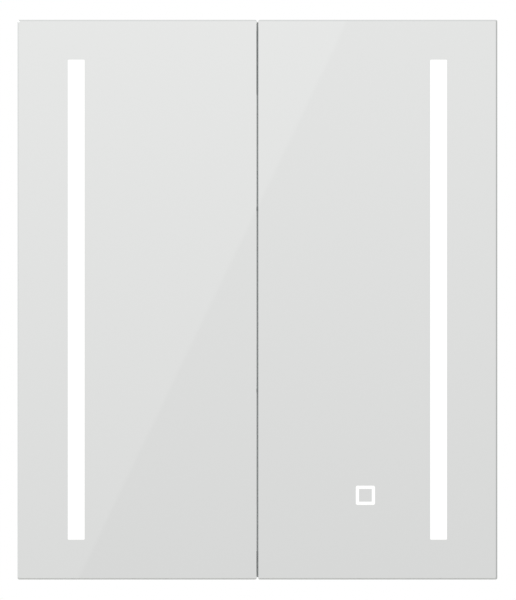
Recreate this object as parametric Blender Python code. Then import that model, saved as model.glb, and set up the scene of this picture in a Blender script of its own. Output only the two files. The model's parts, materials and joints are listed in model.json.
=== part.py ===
"""Medicine cabinet with two lit mirror doors on concealed hinges.

Metres, +Z up. The origin is the middle of the rear face, which hangs flat on the wall.
+X is to the right and the doors face -Y. Places near a door are given as inward (from the
cabinet's outer side), forward (of the carcass's front edges) and height, by at() below.
"""

import math

import bmesh
import bpy
from mathutils import Vector

# Overall
WIDTH = 0.600
HEIGHT = 0.700
DEPTH = 0.130
GAP = 0.0003  # left between two solids that touch on the real cabinet

# Doors: glass in front, a frame behind it, and a second mirror let into the frame's back
DOOR_THICKNESS = 0.022
DOOR_STANDOFF = 0.003  # door back to carcass front
MEETING_GAP = 0.002  # between the two doors
CORNER_RADIUS = 0.002
GLASS_THICKNESS = 0.004
ARRIS_WIDTH = 0.0018
ARRIS_DEPTH = 0.0012
CUP_TO_REBATE = 0.004  # wood left between the hinge cups and the inner mirror's rebate
REBATE_LIP = 0.008  # how far the inner mirror laps the hinge stile
RAIL = 0.024
RAIL_LIP = 0.012  # how far it laps the other three members
INNER_MIRROR_THICKNESS = 0.003

# Carcass
SIDE_THICKNESS = 0.012
TOP_THICKNESS = 0.012
BACK_THICKNESS = 0.006
BACK_MIRROR_THICKNESS = 0.004
BACK_MIRROR_MARGIN = 0.002
SERVICE_STRIP = 0.070  # left free of back mirror below the top panel
KEYHOLE_INSET = 0.100  # from the outer side
KEYHOLE_DROP = 0.050  # from the top
KEYHOLE_HEAD_RADIUS = 0.005
KEYHOLE_SLOT_HALF = 0.0025
KEYHOLE_TRAVEL = 0.010

# Shelves and their pins
SHELF_THICKNESS = 0.005
SHELF_RISE = 0.115  # of the upper shelf above the middle, and the lower one below it
SHELF_SETBACK = 0.012  # from the carcass's front edges
SHELF_BACK_GAP = 0.002
SHELF_CORNER_RADIUS = 0.004
PIN_INSET = 0.016  # pin to the shelf's front or back edge
PIN_RADIUS = 0.0024
PIN_SHANK = 0.008
PIN_COLLAR_RADIUS = 0.0040
PIN_COLLAR = 0.0015
PIN_NOSE = 0.008
PIN_HOLE_PITCH = 0.032
PIN_HOLE_STEPS = (-1, 0, 1)
PIN_HOLE_SPARE = 0.001  # hole deeper than the shank

# Light strips
STRIP_INSET = 0.063  # from the outer side
STRIP_WIDTH = 0.021
STRIP_END = 0.050  # from the top and the bottom
STRIP_CORNER_RADIUS = 0.0012
CHANNEL_LAP = 0.002  # channel wider than the strip, each side
CHANNEL_DEPTH = 0.010
CHANNEL_WALL = 0.0015
LED_TAPE_WIDTH = 0.010
LED_TAPE_THICKNESS = 0.0006
LED_CHIP_HEIGHT = 0.0010
LED_CHIP_LENGTH = 0.0050
LED_PITCH = 0.025

# Touch switch
TOUCH_INSET = 0.165  # ring centre from the outer side
TOUCH_RISE = 0.1055  # and from the bottom
TOUCH_SIZE = 0.024
TOUCH_LINE = 0.004
TOUCH_CORNER_RADIUS = 0.002
TOUCH_DEPTH = 0.002
TOUCH_MODULE_SIZE = 0.040
TOUCH_MODULE_DEPTH = 0.008

# Driver, gland and bumpers
DRIVER_LENGTH = 0.130
DRIVER_EAR = 0.012
DRIVER_EAR_THICKNESS = 0.003
DRIVER_WIDTH = 0.042
DRIVER_HEIGHT = 0.028
DRIVER_BACK = 0.020  # from the wall
DRIVER_EDGE = 0.001
GLAND_OFFSET = 0.110  # right of the middle
GLAND_RADIUS = 0.008
GLAND_HEX_RADIUS = 0.011
GLAND_HEX_THICKNESS = 0.0045
GLAND_DOME_RADIUS = 0.0065
GLAND_DOME_END_RADIUS = 0.0055
GLAND_DOME_LENGTH = 0.006
GLAND_BORE_RADIUS = 0.0035
BUMPER_RADIUS = 0.004
BUMPER_INSET = 0.020  # from the middle

# Concealed hinges. The arm pivot stands on the cabinet and the cup pivot in the door
HINGE_END = 0.090  # hinge middle to the cabinet's top or bottom
ARM_PIVOT_INSIDE = 0.008  # arm pivot inward of the side panel's inner face
LINK_REACH = 0.010  # cup pivot outward of the arm pivot
LINK_DROP = 0.004  # and behind it, with the door shut
LINK_EYE_RADIUS = 0.0025
LINK_HALF_THICKNESS = 0.00125
LINK_HALF_WIDTH = 0.0035
EYE_TO_FLOOR = 0.0005
HINGE_PIN_RADIUS = 0.00125
HINGE_PIN_CLEARANCE = 0.0003
CUP_RADIUS = 0.0175
CUP_WALL = 0.001
CUP_SKIN = 0.0037  # frame left in front of the cup
CUP_TO_EDGE = 0.003  # cup to the door's outer edge
FLANGE_HALF_WIDTH = 0.009
FLANGE_HALF_LENGTH = 0.031
FLANGE_DEPTH = 0.001
FLANGE_PROUD = 0.0005
FLANGE_RADIUS = 0.004
ARM_HALF_WIDTH = 0.006
ARM_WALL = 0.0015
ARM_OUTER = 0.002  # arm outward of its pivot
ARM_INNER = 0.006  # and inward of it
ARM_WEB = 0.0017
ARM_TAIL = 0.050  # arm behind the carcass's front edges
ARM_STEP_START = 0.008
ARM_STEP_END = 0.004
PLATE_THICKNESS = 0.0025
PLATE_HALF_LENGTH = 0.024
PLATE_FRONT = 0.031
PLATE_BACK = 0.043
RAIL_FRONT = 0.012
RAIL_HALF_WIDTH = 0.0042
RAIL_RISE = 0.0095

# Roundness
PIN_SIDES = 12
CUP_SIDES = 32
ARC_STEPS = 4
HEX_SIDES = 6
GLAND_POINTS = 4 * HEX_SIDES
SHARP_ANGLE = math.radians(35)
CUT_THROUGH = 0.002  # cutters run this far past the faces they open

# Worked out from the sizes above
CARCASS_DEPTH = DEPTH - DOOR_THICKNESS - DOOR_STANDOFF
DOOR_WIDTH = (WIDTH - MEETING_GAP) / 2
DOOR_BACK = DOOR_STANDOFF
DOOR_FRONT = DOOR_STANDOFF + DOOR_THICKNESS
GLASS_BACK = DOOR_FRONT - GLASS_THICKNESS
FRAME_FRONT = GLASS_BACK - GAP
INSIDE_HALF_WIDTH = WIDTH / 2 - SIDE_THICKNESS
INSIDE_HALF_HEIGHT = HEIGHT / 2 - TOP_THICKNESS
BACK_MIRROR_FRONT = BACK_THICKNESS + GAP + BACK_MIRROR_THICKNESS
HINGE_HEIGHT = HEIGHT / 2 - HINGE_END
CUP_FLOOR = FRAME_FRONT - CUP_SKIN - CUP_WALL
ARM_PIVOT = (SIDE_THICKNESS + ARM_PIVOT_INSIDE, CUP_FLOOR - EYE_TO_FLOOR - LINK_EYE_RADIUS)
CUP_PIVOT = (ARM_PIVOT[0] - LINK_REACH, ARM_PIVOT[1] - LINK_DROP)
CUP_CENTRE = CUP_TO_EDGE + CUP_RADIUS
CUP_PIN_REACH = CUP_CENTRE - CUP_PIVOT[0] + HINGE_PIN_RADIUS  # cup axis to the pin's far side
CUP_PIN_HALF_LENGTH = math.sqrt(CUP_RADIUS**2 - CUP_PIN_REACH**2)
INNER_MIRROR_EDGE = CUP_CENTRE + CUP_RADIUS + CUP_TO_REBATE
HINGE_STILE = INNER_MIRROR_EDGE + REBATE_LIP
HINGE_BORE_RADIUS = HINGE_PIN_RADIUS + HINGE_PIN_CLEARANCE
SHELF_SIDE_GAP = PIN_COLLAR + 2 * GAP
SHELF_BACK = BACK_MIRROR_FRONT + SHELF_BACK_GAP
SHELF_FRONT = CARCASS_DEPTH - SHELF_SETBACK
STRIP_HALF_LENGTH = HEIGHT / 2 - STRIP_END

SIDES = {"left": -1, "right": 1}
LEVELS = {"upper": 1, "lower": -1}

# Colour, roughness and metallic value of each finish
FINISHES = {
    "white_lacquer": ((0.88, 0.88, 0.87), 0.35, 0.0),
    "anodised_aluminium": ((0.74, 0.75, 0.76), 0.35, 1.0),
    "silvered_glass": ((0.80, 0.81, 0.81), 0.02, 1.0),
    "clear_glass": ((0.78, 0.88, 0.85), 0.03, 0.0),
    "opal_acrylic": ((0.98, 0.98, 0.98), 0.45, 0.0),
    "nickel_plate": ((0.70, 0.69, 0.66), 0.25, 1.0),
    "white_board": ((0.86, 0.86, 0.85), 0.5, 0.0),
    "white_abs": ((0.90, 0.90, 0.89), 0.4, 0.0),
    "black_nylon": ((0.03, 0.03, 0.03), 0.5, 0.0),
    "clear_rubber": ((0.70, 0.71, 0.72), 0.6, 0.0),
}


def clear_scene():
    """Remove every object, so that the model starts from nothing."""
    for thing in list(bpy.data.objects):
        bpy.data.objects.remove(thing)


def at(side, inward, forward, height):
    """World point on one side of the cabinet."""
    return Vector((side * (WIDTH / 2 - inward), -(CARCASS_DEPTH + forward), height))


def on_door(side):
    """Placer for outlines drawn on a door's face: inward and height, then forward."""
    return lambda inward, height, forward: at(side, inward, forward, height)


def seen_from_above(side, middle=0.0):
    """Placer for outlines drawn in plan: inward and forward, then height above the middle."""
    return lambda inward, forward, height: at(side, inward, forward, middle + height)


def seen_from_edge(side):
    """Placer for outlines drawn on a door's edge: height and forward, then inward."""
    return lambda height, forward, inward: at(side, inward, forward, height)


def seen_from_front(across, height, depth):
    """Placer for outlines drawn on the wall plane: across and height, then depth from it."""
    return Vector((across, -depth, height))


def seen_from_side(depth, height, across):
    """Placer for outlines drawn on a side: depth from the wall and height, then across."""
    return Vector((across, -depth, height))


def loft(rings, closed=False):
    """Skin a row of rings with equal counts. Its ends are capped, or joined when closed."""
    mesh = bmesh.new()
    rows = [[mesh.verts.new(point) for point in ring] for ring in rings]
    pairs = list(zip(rows, rows[1:]))
    if closed:
        pairs.append((rows[-1], rows[0]))
    else:
        mesh.faces.new(rows[0])
        mesh.faces.new(rows[-1])
    for first, second in pairs:
        for i in range(len(first)):
            j = (i + 1) % len(first)
            mesh.faces.new((first[i], first[j], second[j], second[i]))
    bmesh.ops.recalc_face_normals(mesh, faces=mesh.faces)
    return mesh


def prism(outline, low, high, place):
    """A flat outline pushed from one level to another."""
    return loft([[place(a, b, level) for a, b in outline] for level in (low, high)])


def arc(centre, radius, start, end, steps):
    """Points along an arc, in degrees, with both ends."""
    turns = [math.radians(start + (end - start) * i / steps) for i in range(steps + 1)]
    return [(centre[0] + radius * math.cos(t), centre[1] + radius * math.sin(t)) for t in turns]


def circle(centre, radius, sides):
    """A full ring of points."""
    return arc(centre, radius, 0, 360, sides)[:-1]


def rectangle(low, high):
    """The four corners between two opposite ones."""
    return [low, (high[0], low[1]), high, (low[0], high[1])]


def rounded_rectangle(low, high, radius):
    """A rectangle between two opposite corners, with round ones."""
    corners = (
        ((high[0] - radius, low[1] + radius), 270),
        ((high[0] - radius, high[1] - radius), 0),
        ((low[0] + radius, high[1] - radius), 90),
        ((low[0] + radius, low[1] + radius), 180),
    )
    return [p for centre, start in corners for p in arc(centre, radius, start, start + 90, ARC_STEPS)]


def grown(low, high, by):
    """Two opposite corners moved apart by a margin."""
    return (low[0] - by, low[1] - by), (high[0] + by, high[1] + by)


def material_of(name, finish):
    """A Principled material of the piece's own, in a named finish."""
    color, roughness, metallic = FINISHES[finish]
    material = bpy.data.materials.new(f"{name}_{finish}")
    material.use_nodes = True
    shader = material.node_tree.nodes["Principled BSDF"]
    shader.inputs["Base Color"].default_value = (*color, 1.0)
    shader.inputs["Roughness"].default_value = roughness
    shader.inputs["Metallic"].default_value = metallic
    return material


def object_of(name, mesh, origin, parent):
    """An object with its own origin, from a bmesh in world places."""
    bmesh.ops.translate(mesh, verts=mesh.verts, vec=-origin)
    data = bpy.data.meshes.new(name)
    mesh.to_mesh(data)
    mesh.free()
    thing = bpy.data.objects.new(name, data)
    thing.location = origin
    if parent:
        bpy.context.view_layer.update()
        thing.location = origin - parent.matrix_world.translation
        thing.parent = parent
    bpy.context.collection.objects.link(thing)
    return thing


def add_piece(name, mesh, finish, parent=None):
    """A sub-part from a bmesh in world places, with its origin at its middle."""
    points = [vert.co for vert in mesh.verts]
    middle = sum(points, Vector()) / len(points)
    piece = object_of(name, mesh, middle, parent)
    piece.data.shade_smooth()
    piece.data.set_sharp_from_angle(angle=SHARP_ANGLE)
    piece.data.materials.append(material_of(name, finish))
    return piece


def combine(piece, tools, operation):
    """Cut hidden solids from a piece, or unite them with it."""
    for index, mesh in enumerate(tools):
        origin = sum((vert.co for vert in mesh.verts), Vector()) / len(mesh.verts)
        tool = object_of(f"{piece.name}_{operation.lower()}_{index}", mesh, origin, None)
        tool.hide_render = True
        tool.display_type = "WIRE"
        boolean = piece.modifiers.new(tool.name, "BOOLEAN")
        boolean.operation = operation
        boolean.object = tool


def add_pivot(name, side, pivot, parent=None):
    """An empty on a vertical joint axis."""
    empty = bpy.data.objects.new(name, None)
    place = at(side, *pivot, 0.0)
    if parent:
        bpy.context.view_layer.update()
        place = place - parent.matrix_world.translation
        empty.parent = parent
    empty.location = place
    bpy.context.collection.objects.link(empty)
    return empty


def add_side_panels():
    """The two sides, with blind rows of shelf-pin holes inside."""
    outline = rectangle((0.0, -HEIGHT / 2), (CARCASS_DEPTH, HEIGHT / 2))
    for name, side in SIDES.items():
        inner = side * INSIDE_HALF_WIDTH
        mesh = prism(outline, side * WIDTH / 2, inner, seen_from_side)
        panel = add_piece(f"{name}_side_panel", mesh, "white_lacquer")
        bottom = inner + side * (PIN_SHANK + PIN_HOLE_SPARE)
        mouth = inner - side * CUT_THROUGH
        radius = PIN_RADIUS + GAP
        holes = [
            prism(circle(place, radius, PIN_SIDES), bottom, mouth, seen_from_side)
            for place in pin_hole_places()
        ]
        combine(panel, holes, "DIFFERENCE")


def pin_columns():
    """Depths of the back and the front pins from the wall."""
    return SHELF_BACK + PIN_INSET, SHELF_FRONT - PIN_INSET


def pin_height(level):
    """Height of a shelf's pins: the shelf lies on them."""
    return level * SHELF_RISE - SHELF_THICKNESS / 2 - GAP - PIN_RADIUS


def pin_hole_places():
    """Depth and height of each shelf-pin hole in one side panel."""
    return [
        (depth, pin_height(level) + step * PIN_HOLE_PITCH)
        for depth in pin_columns()
        for level in LEVELS.values()
        for step in PIN_HOLE_STEPS
    ]


def add_top_and_bottom():
    """The top and bottom panels, between the sides."""
    half = INSIDE_HALF_WIDTH - GAP
    for name, level in (("top_panel", 1), ("bottom_panel", -1)):
        ends = sorted((level * HEIGHT / 2, level * INSIDE_HALF_HEIGHT))
        outline = rectangle((-half, ends[0]), (half, ends[1]))
        add_piece(name, prism(outline, 0.0, CARCASS_DEPTH, seen_from_front), "white_lacquer")


def keyhole(across, height):
    """A head hole with a slot up from it, as one outline."""
    spread = math.degrees(math.asin(KEYHOLE_SLOT_HALF / KEYHOLE_HEAD_RADIUS))
    head = arc((across, height), KEYHOLE_HEAD_RADIUS, 90 + spread, 450 - spread, 2 * PIN_SIDES)
    slot = arc((across, height + KEYHOLE_TRAVEL), KEYHOLE_SLOT_HALF, 0, 180, PIN_SIDES)
    return head + slot


def add_back():
    """The back panel with its keyholes and cable hole, and the mirror on it."""
    corner = (INSIDE_HALF_WIDTH - GAP, INSIDE_HALF_HEIGHT - GAP)
    outline = rectangle((-corner[0], -corner[1]), corner)
    panel = add_piece("back_panel", prism(outline, 0.0, BACK_THICKNESS, seen_from_front), "white_board")
    through = (-CUT_THROUGH, BACK_THICKNESS + CUT_THROUGH, seen_from_front)
    across = WIDTH / 2 - KEYHOLE_INSET
    height = HEIGHT / 2 - KEYHOLE_DROP
    keyholes = [prism(keyhole(side * across, height), *through) for side in SIDES.values()]
    cable_hole = prism(circle(gland_place(), GLAND_RADIUS + 2 * GAP, CUP_SIDES), *through)
    combine(panel, [*keyholes, cable_hole], "DIFFERENCE")
    low = (BACK_MIRROR_MARGIN - INSIDE_HALF_WIDTH, BACK_MIRROR_MARGIN - INSIDE_HALF_HEIGHT)
    high = (-low[0], INSIDE_HALF_HEIGHT - SERVICE_STRIP)
    mirror = prism(rectangle(low, high), BACK_THICKNESS + GAP, BACK_MIRROR_FRONT, seen_from_front)
    add_piece("back_mirror", mirror, "silvered_glass")


def add_shelves():
    """Two glass shelves, each on four pins."""
    half = INSIDE_HALF_WIDTH - SHELF_SIDE_GAP
    plan = rounded_rectangle((-half, SHELF_BACK), (half, SHELF_FRONT), SHELF_CORNER_RADIUS)
    for name, level in LEVELS.items():
        top = level * SHELF_RISE + SHELF_THICKNESS / 2
        mesh = prism(plan, top - SHELF_THICKNESS, top, lambda x, depth, z: Vector((x, -depth, z)))
        add_piece(f"{name}_shelf", mesh, "clear_glass")
        for side_name, side in SIDES.items():
            for column, depth in zip(("back", "front"), pin_columns()):
                mesh = shelf_pin(side, depth, pin_height(level))
                add_piece(f"{side_name}_{name}_{column}_shelf_pin", mesh, "nickel_plate")


def shelf_pin(side, depth, height):
    """A turned pin: a shank in the hole, a collar on the panel and a nose under the shelf."""
    steps = (
        (-PIN_SHANK, PIN_RADIUS),
        (GAP, PIN_RADIUS),
        (GAP, PIN_COLLAR_RADIUS),
        (GAP + PIN_COLLAR, PIN_COLLAR_RADIUS),
        (GAP + PIN_COLLAR, PIN_RADIUS),
        (PIN_COLLAR + PIN_NOSE, PIN_RADIUS),
    )
    rings = []
    for inward, radius in steps:
        across = side * (INSIDE_HALF_WIDTH - inward)
        ring = circle((depth, height), radius, PIN_SIDES)
        rings.append([seen_from_side(a, b, across) for a, b in ring])
    return loft(rings)


def gland_place():
    """Across and height of the cable gland, in the free strip above the back mirror."""
    return GLAND_OFFSET, HEIGHT / 2 - KEYHOLE_DROP


def add_gland():
    """A bored gland through the back panel, with a hexagon and a dome inside the cabinet."""
    hexagon_front = BACK_THICKNESS + GAP + GLAND_HEX_THICKNESS
    dome_front = hexagon_front + GLAND_DOME_LENGTH
    steps = (
        (GAP, GLAND_BORE_RADIUS),
        (GAP, GLAND_RADIUS),
        (BACK_THICKNESS + GAP, GLAND_RADIUS),
        (BACK_THICKNESS + GAP, GLAND_HEX_RADIUS),
        (hexagon_front, GLAND_HEX_RADIUS),
        (hexagon_front, GLAND_DOME_RADIUS),
        (dome_front, GLAND_DOME_END_RADIUS),
        (dome_front, GLAND_BORE_RADIUS),
    )
    rings = []
    for depth, radius in steps:
        corners = HEX_SIDES if radius == GLAND_HEX_RADIUS else GLAND_POINTS
        ring = gland_ring(gland_place(), radius, corners)
        rings.append([seen_from_front(across, height, depth) for across, height in ring])
    add_piece("cable_gland", loft(rings, closed=True), "black_nylon")


def gland_ring(centre, radius, corners):
    """A regular polygon about a centre, drawn with as many points as each ring of the gland."""
    half_turn = math.radians(180 / corners)
    points = []
    for across, up in circle((0.0, 0.0), 1.0, GLAND_POINTS):
        turn = math.atan2(up, across) % (2 * half_turn) - half_turn
        reach = radius * math.cos(half_turn) / math.cos(turn)
        points.append((centre[0] + reach * across, centre[1] + reach * up))
    return points


def add_driver():
    """The light's driver under the top panel, with a screw ear at each end."""
    top = INSIDE_HALF_HEIGHT - GAP
    ear_end = DRIVER_LENGTH / 2 + DRIVER_EAR
    ear_bottom = top - DRIVER_EAR_THICKNESS
    bottom = top - DRIVER_HEIGHT
    half = DRIVER_LENGTH / 2
    outline = [
        (-ear_end, top),
        (-ear_end, ear_bottom),
        (-half, ear_bottom),
        (-half, bottom),
        (half, bottom),
        (half, ear_bottom),
        (ear_end, ear_bottom),
        (ear_end, top),
    ]
    mesh = prism(outline, DRIVER_BACK, DRIVER_BACK + DRIVER_WIDTH, seen_from_front)
    driver = add_piece("led_driver", mesh, "white_abs")
    bevel = driver.modifiers.new("edges", "BEVEL")
    bevel.width = DRIVER_EDGE
    bevel.segments = 2


def add_bumpers():
    """Soft stops on the front edges of the top and bottom panels, where the doors meet."""
    height = (INSIDE_HALF_HEIGHT + HEIGHT / 2) / 2
    for side_name, side in SIDES.items():
        for name, level in LEVELS.items():
            outline = circle((side * BUMPER_INSET, level * height), BUMPER_RADIUS, 2 * PIN_SIDES)
            ends = (CARCASS_DEPTH + GAP, CARCASS_DEPTH + DOOR_STANDOFF - GAP)
            bumper = prism(outline, *ends, seen_from_front)
            add_piece(f"{side_name}_{name}_bumper", bumper, "clear_rubber")


def add_hinge_plate(name, side, middle):
    """The plate on the side panel: a cross bar with a rail that the arm sits over."""
    place = seen_from_above(side, middle)
    base = SIDE_THICKNESS + GAP
    bar = rectangle((base, -PLATE_BACK), (base + PLATE_THICKNESS, -PLATE_FRONT))
    mesh = prism(bar, -PLATE_HALF_LENGTH, PLATE_HALF_LENGTH, place)
    plate = add_piece(f"{name}_hinge_plate", mesh, "nickel_plate")
    rail = rectangle((base, -ARM_TAIL), (base + RAIL_RISE, -RAIL_FRONT))
    combine(plate, [prism(rail, -RAIL_HALF_WIDTH, RAIL_HALF_WIDTH, place)], "UNION")


def arm_outline():
    """The arm from the side: it straddles the rail and ends round its pivot."""
    inner = ARM_PIVOT[0] + ARM_INNER
    outer = ARM_PIVOT[0] - ARM_OUTER
    foot = SIDE_THICKNESS + 2 * GAP + PLATE_THICKNESS
    nose = arc(ARM_PIVOT, ARM_OUTER, 180, 90, ARC_STEPS)
    corner = (inner - ARM_OUTER, ARM_PIVOT[1])
    return [
        (inner, -ARM_TAIL),
        (foot, -ARM_TAIL),
        (foot, -ARM_STEP_START),
        (outer, -ARM_STEP_END),
        *nose,
        *arc(corner, ARM_OUTER, 90, 0, ARC_STEPS),
    ]


def add_hinge_arm(name, side, middle):
    """A channel with its web inward and the arm pin through its two cheeks."""
    place = seen_from_above(side, middle)
    mesh = prism(arm_outline(), -ARM_HALF_WIDTH, ARM_HALF_WIDTH, place)
    arm = add_piece(f"{name}_hinge_arm", mesh, "nickel_plate")
    web = ARM_PIVOT[0] + ARM_INNER - ARM_WEB
    hollow_low = (SIDE_THICKNESS, -ARM_TAIL - CUT_THROUGH)
    hollow_high = (web, DOOR_FRONT)
    inside = ARM_HALF_WIDTH - ARM_WALL
    bore = circle(ARM_PIVOT, HINGE_BORE_RADIUS, PIN_SIDES)
    reach = ARM_HALF_WIDTH + CUT_THROUGH
    tools = [
        prism(rectangle(hollow_low, hollow_high), -inside, inside, place),
        prism(bore, -reach, reach, place),
    ]
    combine(arm, tools, "DIFFERENCE")
    pin = prism(circle(ARM_PIVOT, HINGE_PIN_RADIUS, PIN_SIDES), -ARM_HALF_WIDTH, ARM_HALF_WIDTH, place)
    add_piece(f"{name}_arm_pin", pin, "nickel_plate")


def link_outline():
    """Two eyes with a thinner bar between them."""
    across = CUP_PIVOT[0] - ARM_PIVOT[0]
    along = CUP_PIVOT[1] - ARM_PIVOT[1]
    heading = math.degrees(math.atan2(along, across))
    neck = math.degrees(math.asin(LINK_HALF_THICKNESS / LINK_EYE_RADIUS))
    first = arc(ARM_PIVOT, LINK_EYE_RADIUS, heading + neck, heading + 360 - neck, 4 * ARC_STEPS)
    back = heading + 180
    second = arc(CUP_PIVOT, LINK_EYE_RADIUS, back + neck, back + 360 - neck, 4 * ARC_STEPS)
    return first + second


def add_hinge_link(name, side, middle, pivot):
    """The link between the arm pin and the cup pin."""
    place = seen_from_above(side, middle)
    mesh = prism(link_outline(), -LINK_HALF_WIDTH, LINK_HALF_WIDTH, place)
    link = add_piece(f"{name}_hinge_link", mesh, "nickel_plate", pivot)
    reach = LINK_HALF_WIDTH + CUT_THROUGH
    bores = [
        prism(circle(centre, HINGE_BORE_RADIUS, PIN_SIDES), -reach, reach, place)
        for centre in (ARM_PIVOT, CUP_PIVOT)
    ]
    combine(link, bores, "DIFFERENCE")


def flange_outline(middle, margin):
    """The cup's two screw ears, as one round-cornered plate, with a margin round it."""
    low = (CUP_CENTRE - FLANGE_HALF_WIDTH, middle - FLANGE_HALF_LENGTH)
    high = (CUP_CENTRE + FLANGE_HALF_WIDTH, middle + FLANGE_HALF_LENGTH)
    return rounded_rectangle(*grown(low, high, margin), FLANGE_RADIUS + margin)


def add_hinge_cup(name, side, middle, pivot):
    """The round cup let into the door, its flange, and the pin across it."""
    place = on_door(side)
    centre = (CUP_CENTRE, middle)
    body = prism(circle(centre, CUP_RADIUS, CUP_SIDES), DOOR_BACK, CUP_FLOOR + CUP_WALL, place)
    cup = add_piece(f"{name}_hinge_cup", body, "nickel_plate", pivot)
    flange_levels = (DOOR_BACK - FLANGE_PROUD, DOOR_BACK + FLANGE_DEPTH)
    flange = prism(flange_outline(middle, 0.0), *flange_levels, place)
    combine(cup, [flange], "UNION")
    inside = circle(centre, CUP_RADIUS - CUP_WALL, CUP_SIDES)
    hollow = prism(inside, DOOR_BACK - CUT_THROUGH, CUP_FLOOR, place)
    above = seen_from_above(side, middle)
    pin_hole = prism(circle(CUP_PIVOT, HINGE_BORE_RADIUS, PIN_SIDES), -CUP_RADIUS, CUP_RADIUS, above)
    combine(cup, [hollow, pin_hole], "DIFFERENCE")
    pin = circle(CUP_PIVOT, HINGE_PIN_RADIUS, PIN_SIDES)
    mesh = prism(pin, -CUP_PIN_HALF_LENGTH, CUP_PIN_HALF_LENGTH, above)
    add_piece(f"{name}_cup_pin", mesh, "nickel_plate", pivot)


def door_outline(inset=0.0):
    """A door's outline in inward distance and height."""
    low, high = grown((0.0, -HEIGHT / 2), (DOOR_WIDTH, HEIGHT / 2), -inset)
    return rounded_rectangle(low, high, CORNER_RADIUS)


def strip_outline(margin):
    """The light strip's outline, with a margin round it."""
    low = (STRIP_INSET, -STRIP_HALF_LENGTH)
    high = (STRIP_INSET + STRIP_WIDTH, STRIP_HALF_LENGTH)
    return rounded_rectangle(*grown(low, high, margin), STRIP_CORNER_RADIUS + margin)


def add_mirror(name, side, pivot):
    """The front pane with its polished arris and the slot for the light window."""
    place = on_door(side)
    sections = ((0.0, GLASS_BACK), (0.0, DOOR_FRONT - ARRIS_DEPTH), (ARRIS_WIDTH, DOOR_FRONT))
    rings = [[place(a, b, forward) for a, b in door_outline(inset)] for inset, forward in sections]
    mirror = add_piece(f"{name}_mirror", loft(rings), "silvered_glass", pivot)
    slot = prism(strip_outline(GAP), GLASS_BACK - CUT_THROUGH, DOOR_FRONT + CUT_THROUGH, place)
    combine(mirror, [slot], "DIFFERENCE")
    return mirror


def add_frame(name, side, pivot):
    """The door's frame: open in the middle, rebated at the back and bored for the cups."""
    place = on_door(side)
    slab = prism(door_outline(), DOOR_BACK, FRAME_FRONT, place)
    frame = add_piece(f"{name}_door_frame", slab, "white_lacquer", pivot)
    opening = rectangle((HINGE_STILE, RAIL - HEIGHT / 2), (DOOR_WIDTH - RAIL, HEIGHT / 2 - RAIL))
    behind = DOOR_BACK - CUT_THROUGH
    rebate_floor = DOOR_BACK + INNER_MIRROR_THICKNESS + GAP
    tools = [
        prism(opening, behind, FRAME_FRONT + CUT_THROUGH, place),
        prism(rectangle(*inner_mirror_corners()), behind, rebate_floor, place),
    ]
    for level in LEVELS.values():
        middle = level * HINGE_HEIGHT
        bore = circle((CUP_CENTRE, middle), CUP_RADIUS + GAP, CUP_SIDES)
        tools.append(prism(bore, behind, CUP_FLOOR + CUP_WALL + GAP, place))
        tools.append(prism(flange_outline(middle, GAP), behind, DOOR_BACK + FLANGE_DEPTH + GAP, place))
    combine(frame, tools, "DIFFERENCE")


def inner_mirror_corners():
    """Two opposite corners of the rebate that the inner mirror lies in."""
    low = (INNER_MIRROR_EDGE, RAIL_LIP - HEIGHT / 2)
    return low, (DOOR_WIDTH - RAIL_LIP, -low[1])


def add_inner_mirror(name, side, pivot):
    """The mirror on the inside of a door."""
    outline = rectangle(*grown(*inner_mirror_corners(), -GAP))
    mesh = prism(outline, DOOR_BACK, DOOR_BACK + INNER_MIRROR_THICKNESS, on_door(side))
    add_piece(f"{name}_inner_mirror", mesh, "silvered_glass", pivot)


def add_light(name, side, pivot):
    """The light window in the pane, and the LED tape in its channel behind it."""
    place = on_door(side)
    window = prism(strip_outline(0.0), GLASS_BACK, DOOR_FRONT, place)
    add_piece(f"{name}_light_window", window, "opal_acrylic", pivot)
    low, high = STRIP_INSET - CHANNEL_LAP, STRIP_INSET + STRIP_WIDTH + CHANNEL_LAP
    front, back = FRAME_FRONT, FRAME_FRONT - CHANNEL_DEPTH
    web = back + CHANNEL_WALL
    section = [
        (low, front),
        (low, back),
        (high, back),
        (high, front),
        (high - CHANNEL_WALL, front),
        (high - CHANNEL_WALL, web),
        (low + CHANNEL_WALL, web),
        (low + CHANNEL_WALL, front),
    ]
    half = STRIP_HALF_LENGTH + CHANNEL_LAP
    above = seen_from_above(side)
    add_piece(f"{name}_led_channel", prism(section, -half, half, above), "anodised_aluminium", pivot)
    middle = (low + high) / 2
    edges = (middle - LED_TAPE_WIDTH / 2, middle + LED_TAPE_WIDTH / 2)
    tape = prism(led_tape_outline(web + GAP), *edges, seen_from_edge(side))
    add_piece(f"{name}_led_strip", tape, "white_abs", pivot)


def led_tape_outline(base):
    """The tape from its edge: a thin strip with a raised chip at each pitch."""
    count = int(2 * STRIP_HALF_LENGTH / LED_PITCH)
    end = count * LED_PITCH / 2
    face = base + LED_TAPE_THICKNESS
    top = face + LED_CHIP_HEIGHT
    outline = [(end, base), (-end, base), (-end, face)]
    for i in range(count):
        middle = (i + 0.5) * LED_PITCH - end
        low, high = middle - LED_CHIP_LENGTH / 2, middle + LED_CHIP_LENGTH / 2
        outline += [(low, face), (low, top), (high, top), (high, face)]
    return [*outline, (end, face)]


def touch_square(half, radius):
    """A round-cornered square about the touch switch's centre."""
    middle = TOUCH_RISE - HEIGHT / 2
    low = (TOUCH_INSET - half, middle - half)
    high = (TOUCH_INSET + half, middle + half)
    return rounded_rectangle(low, high, radius)


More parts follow.
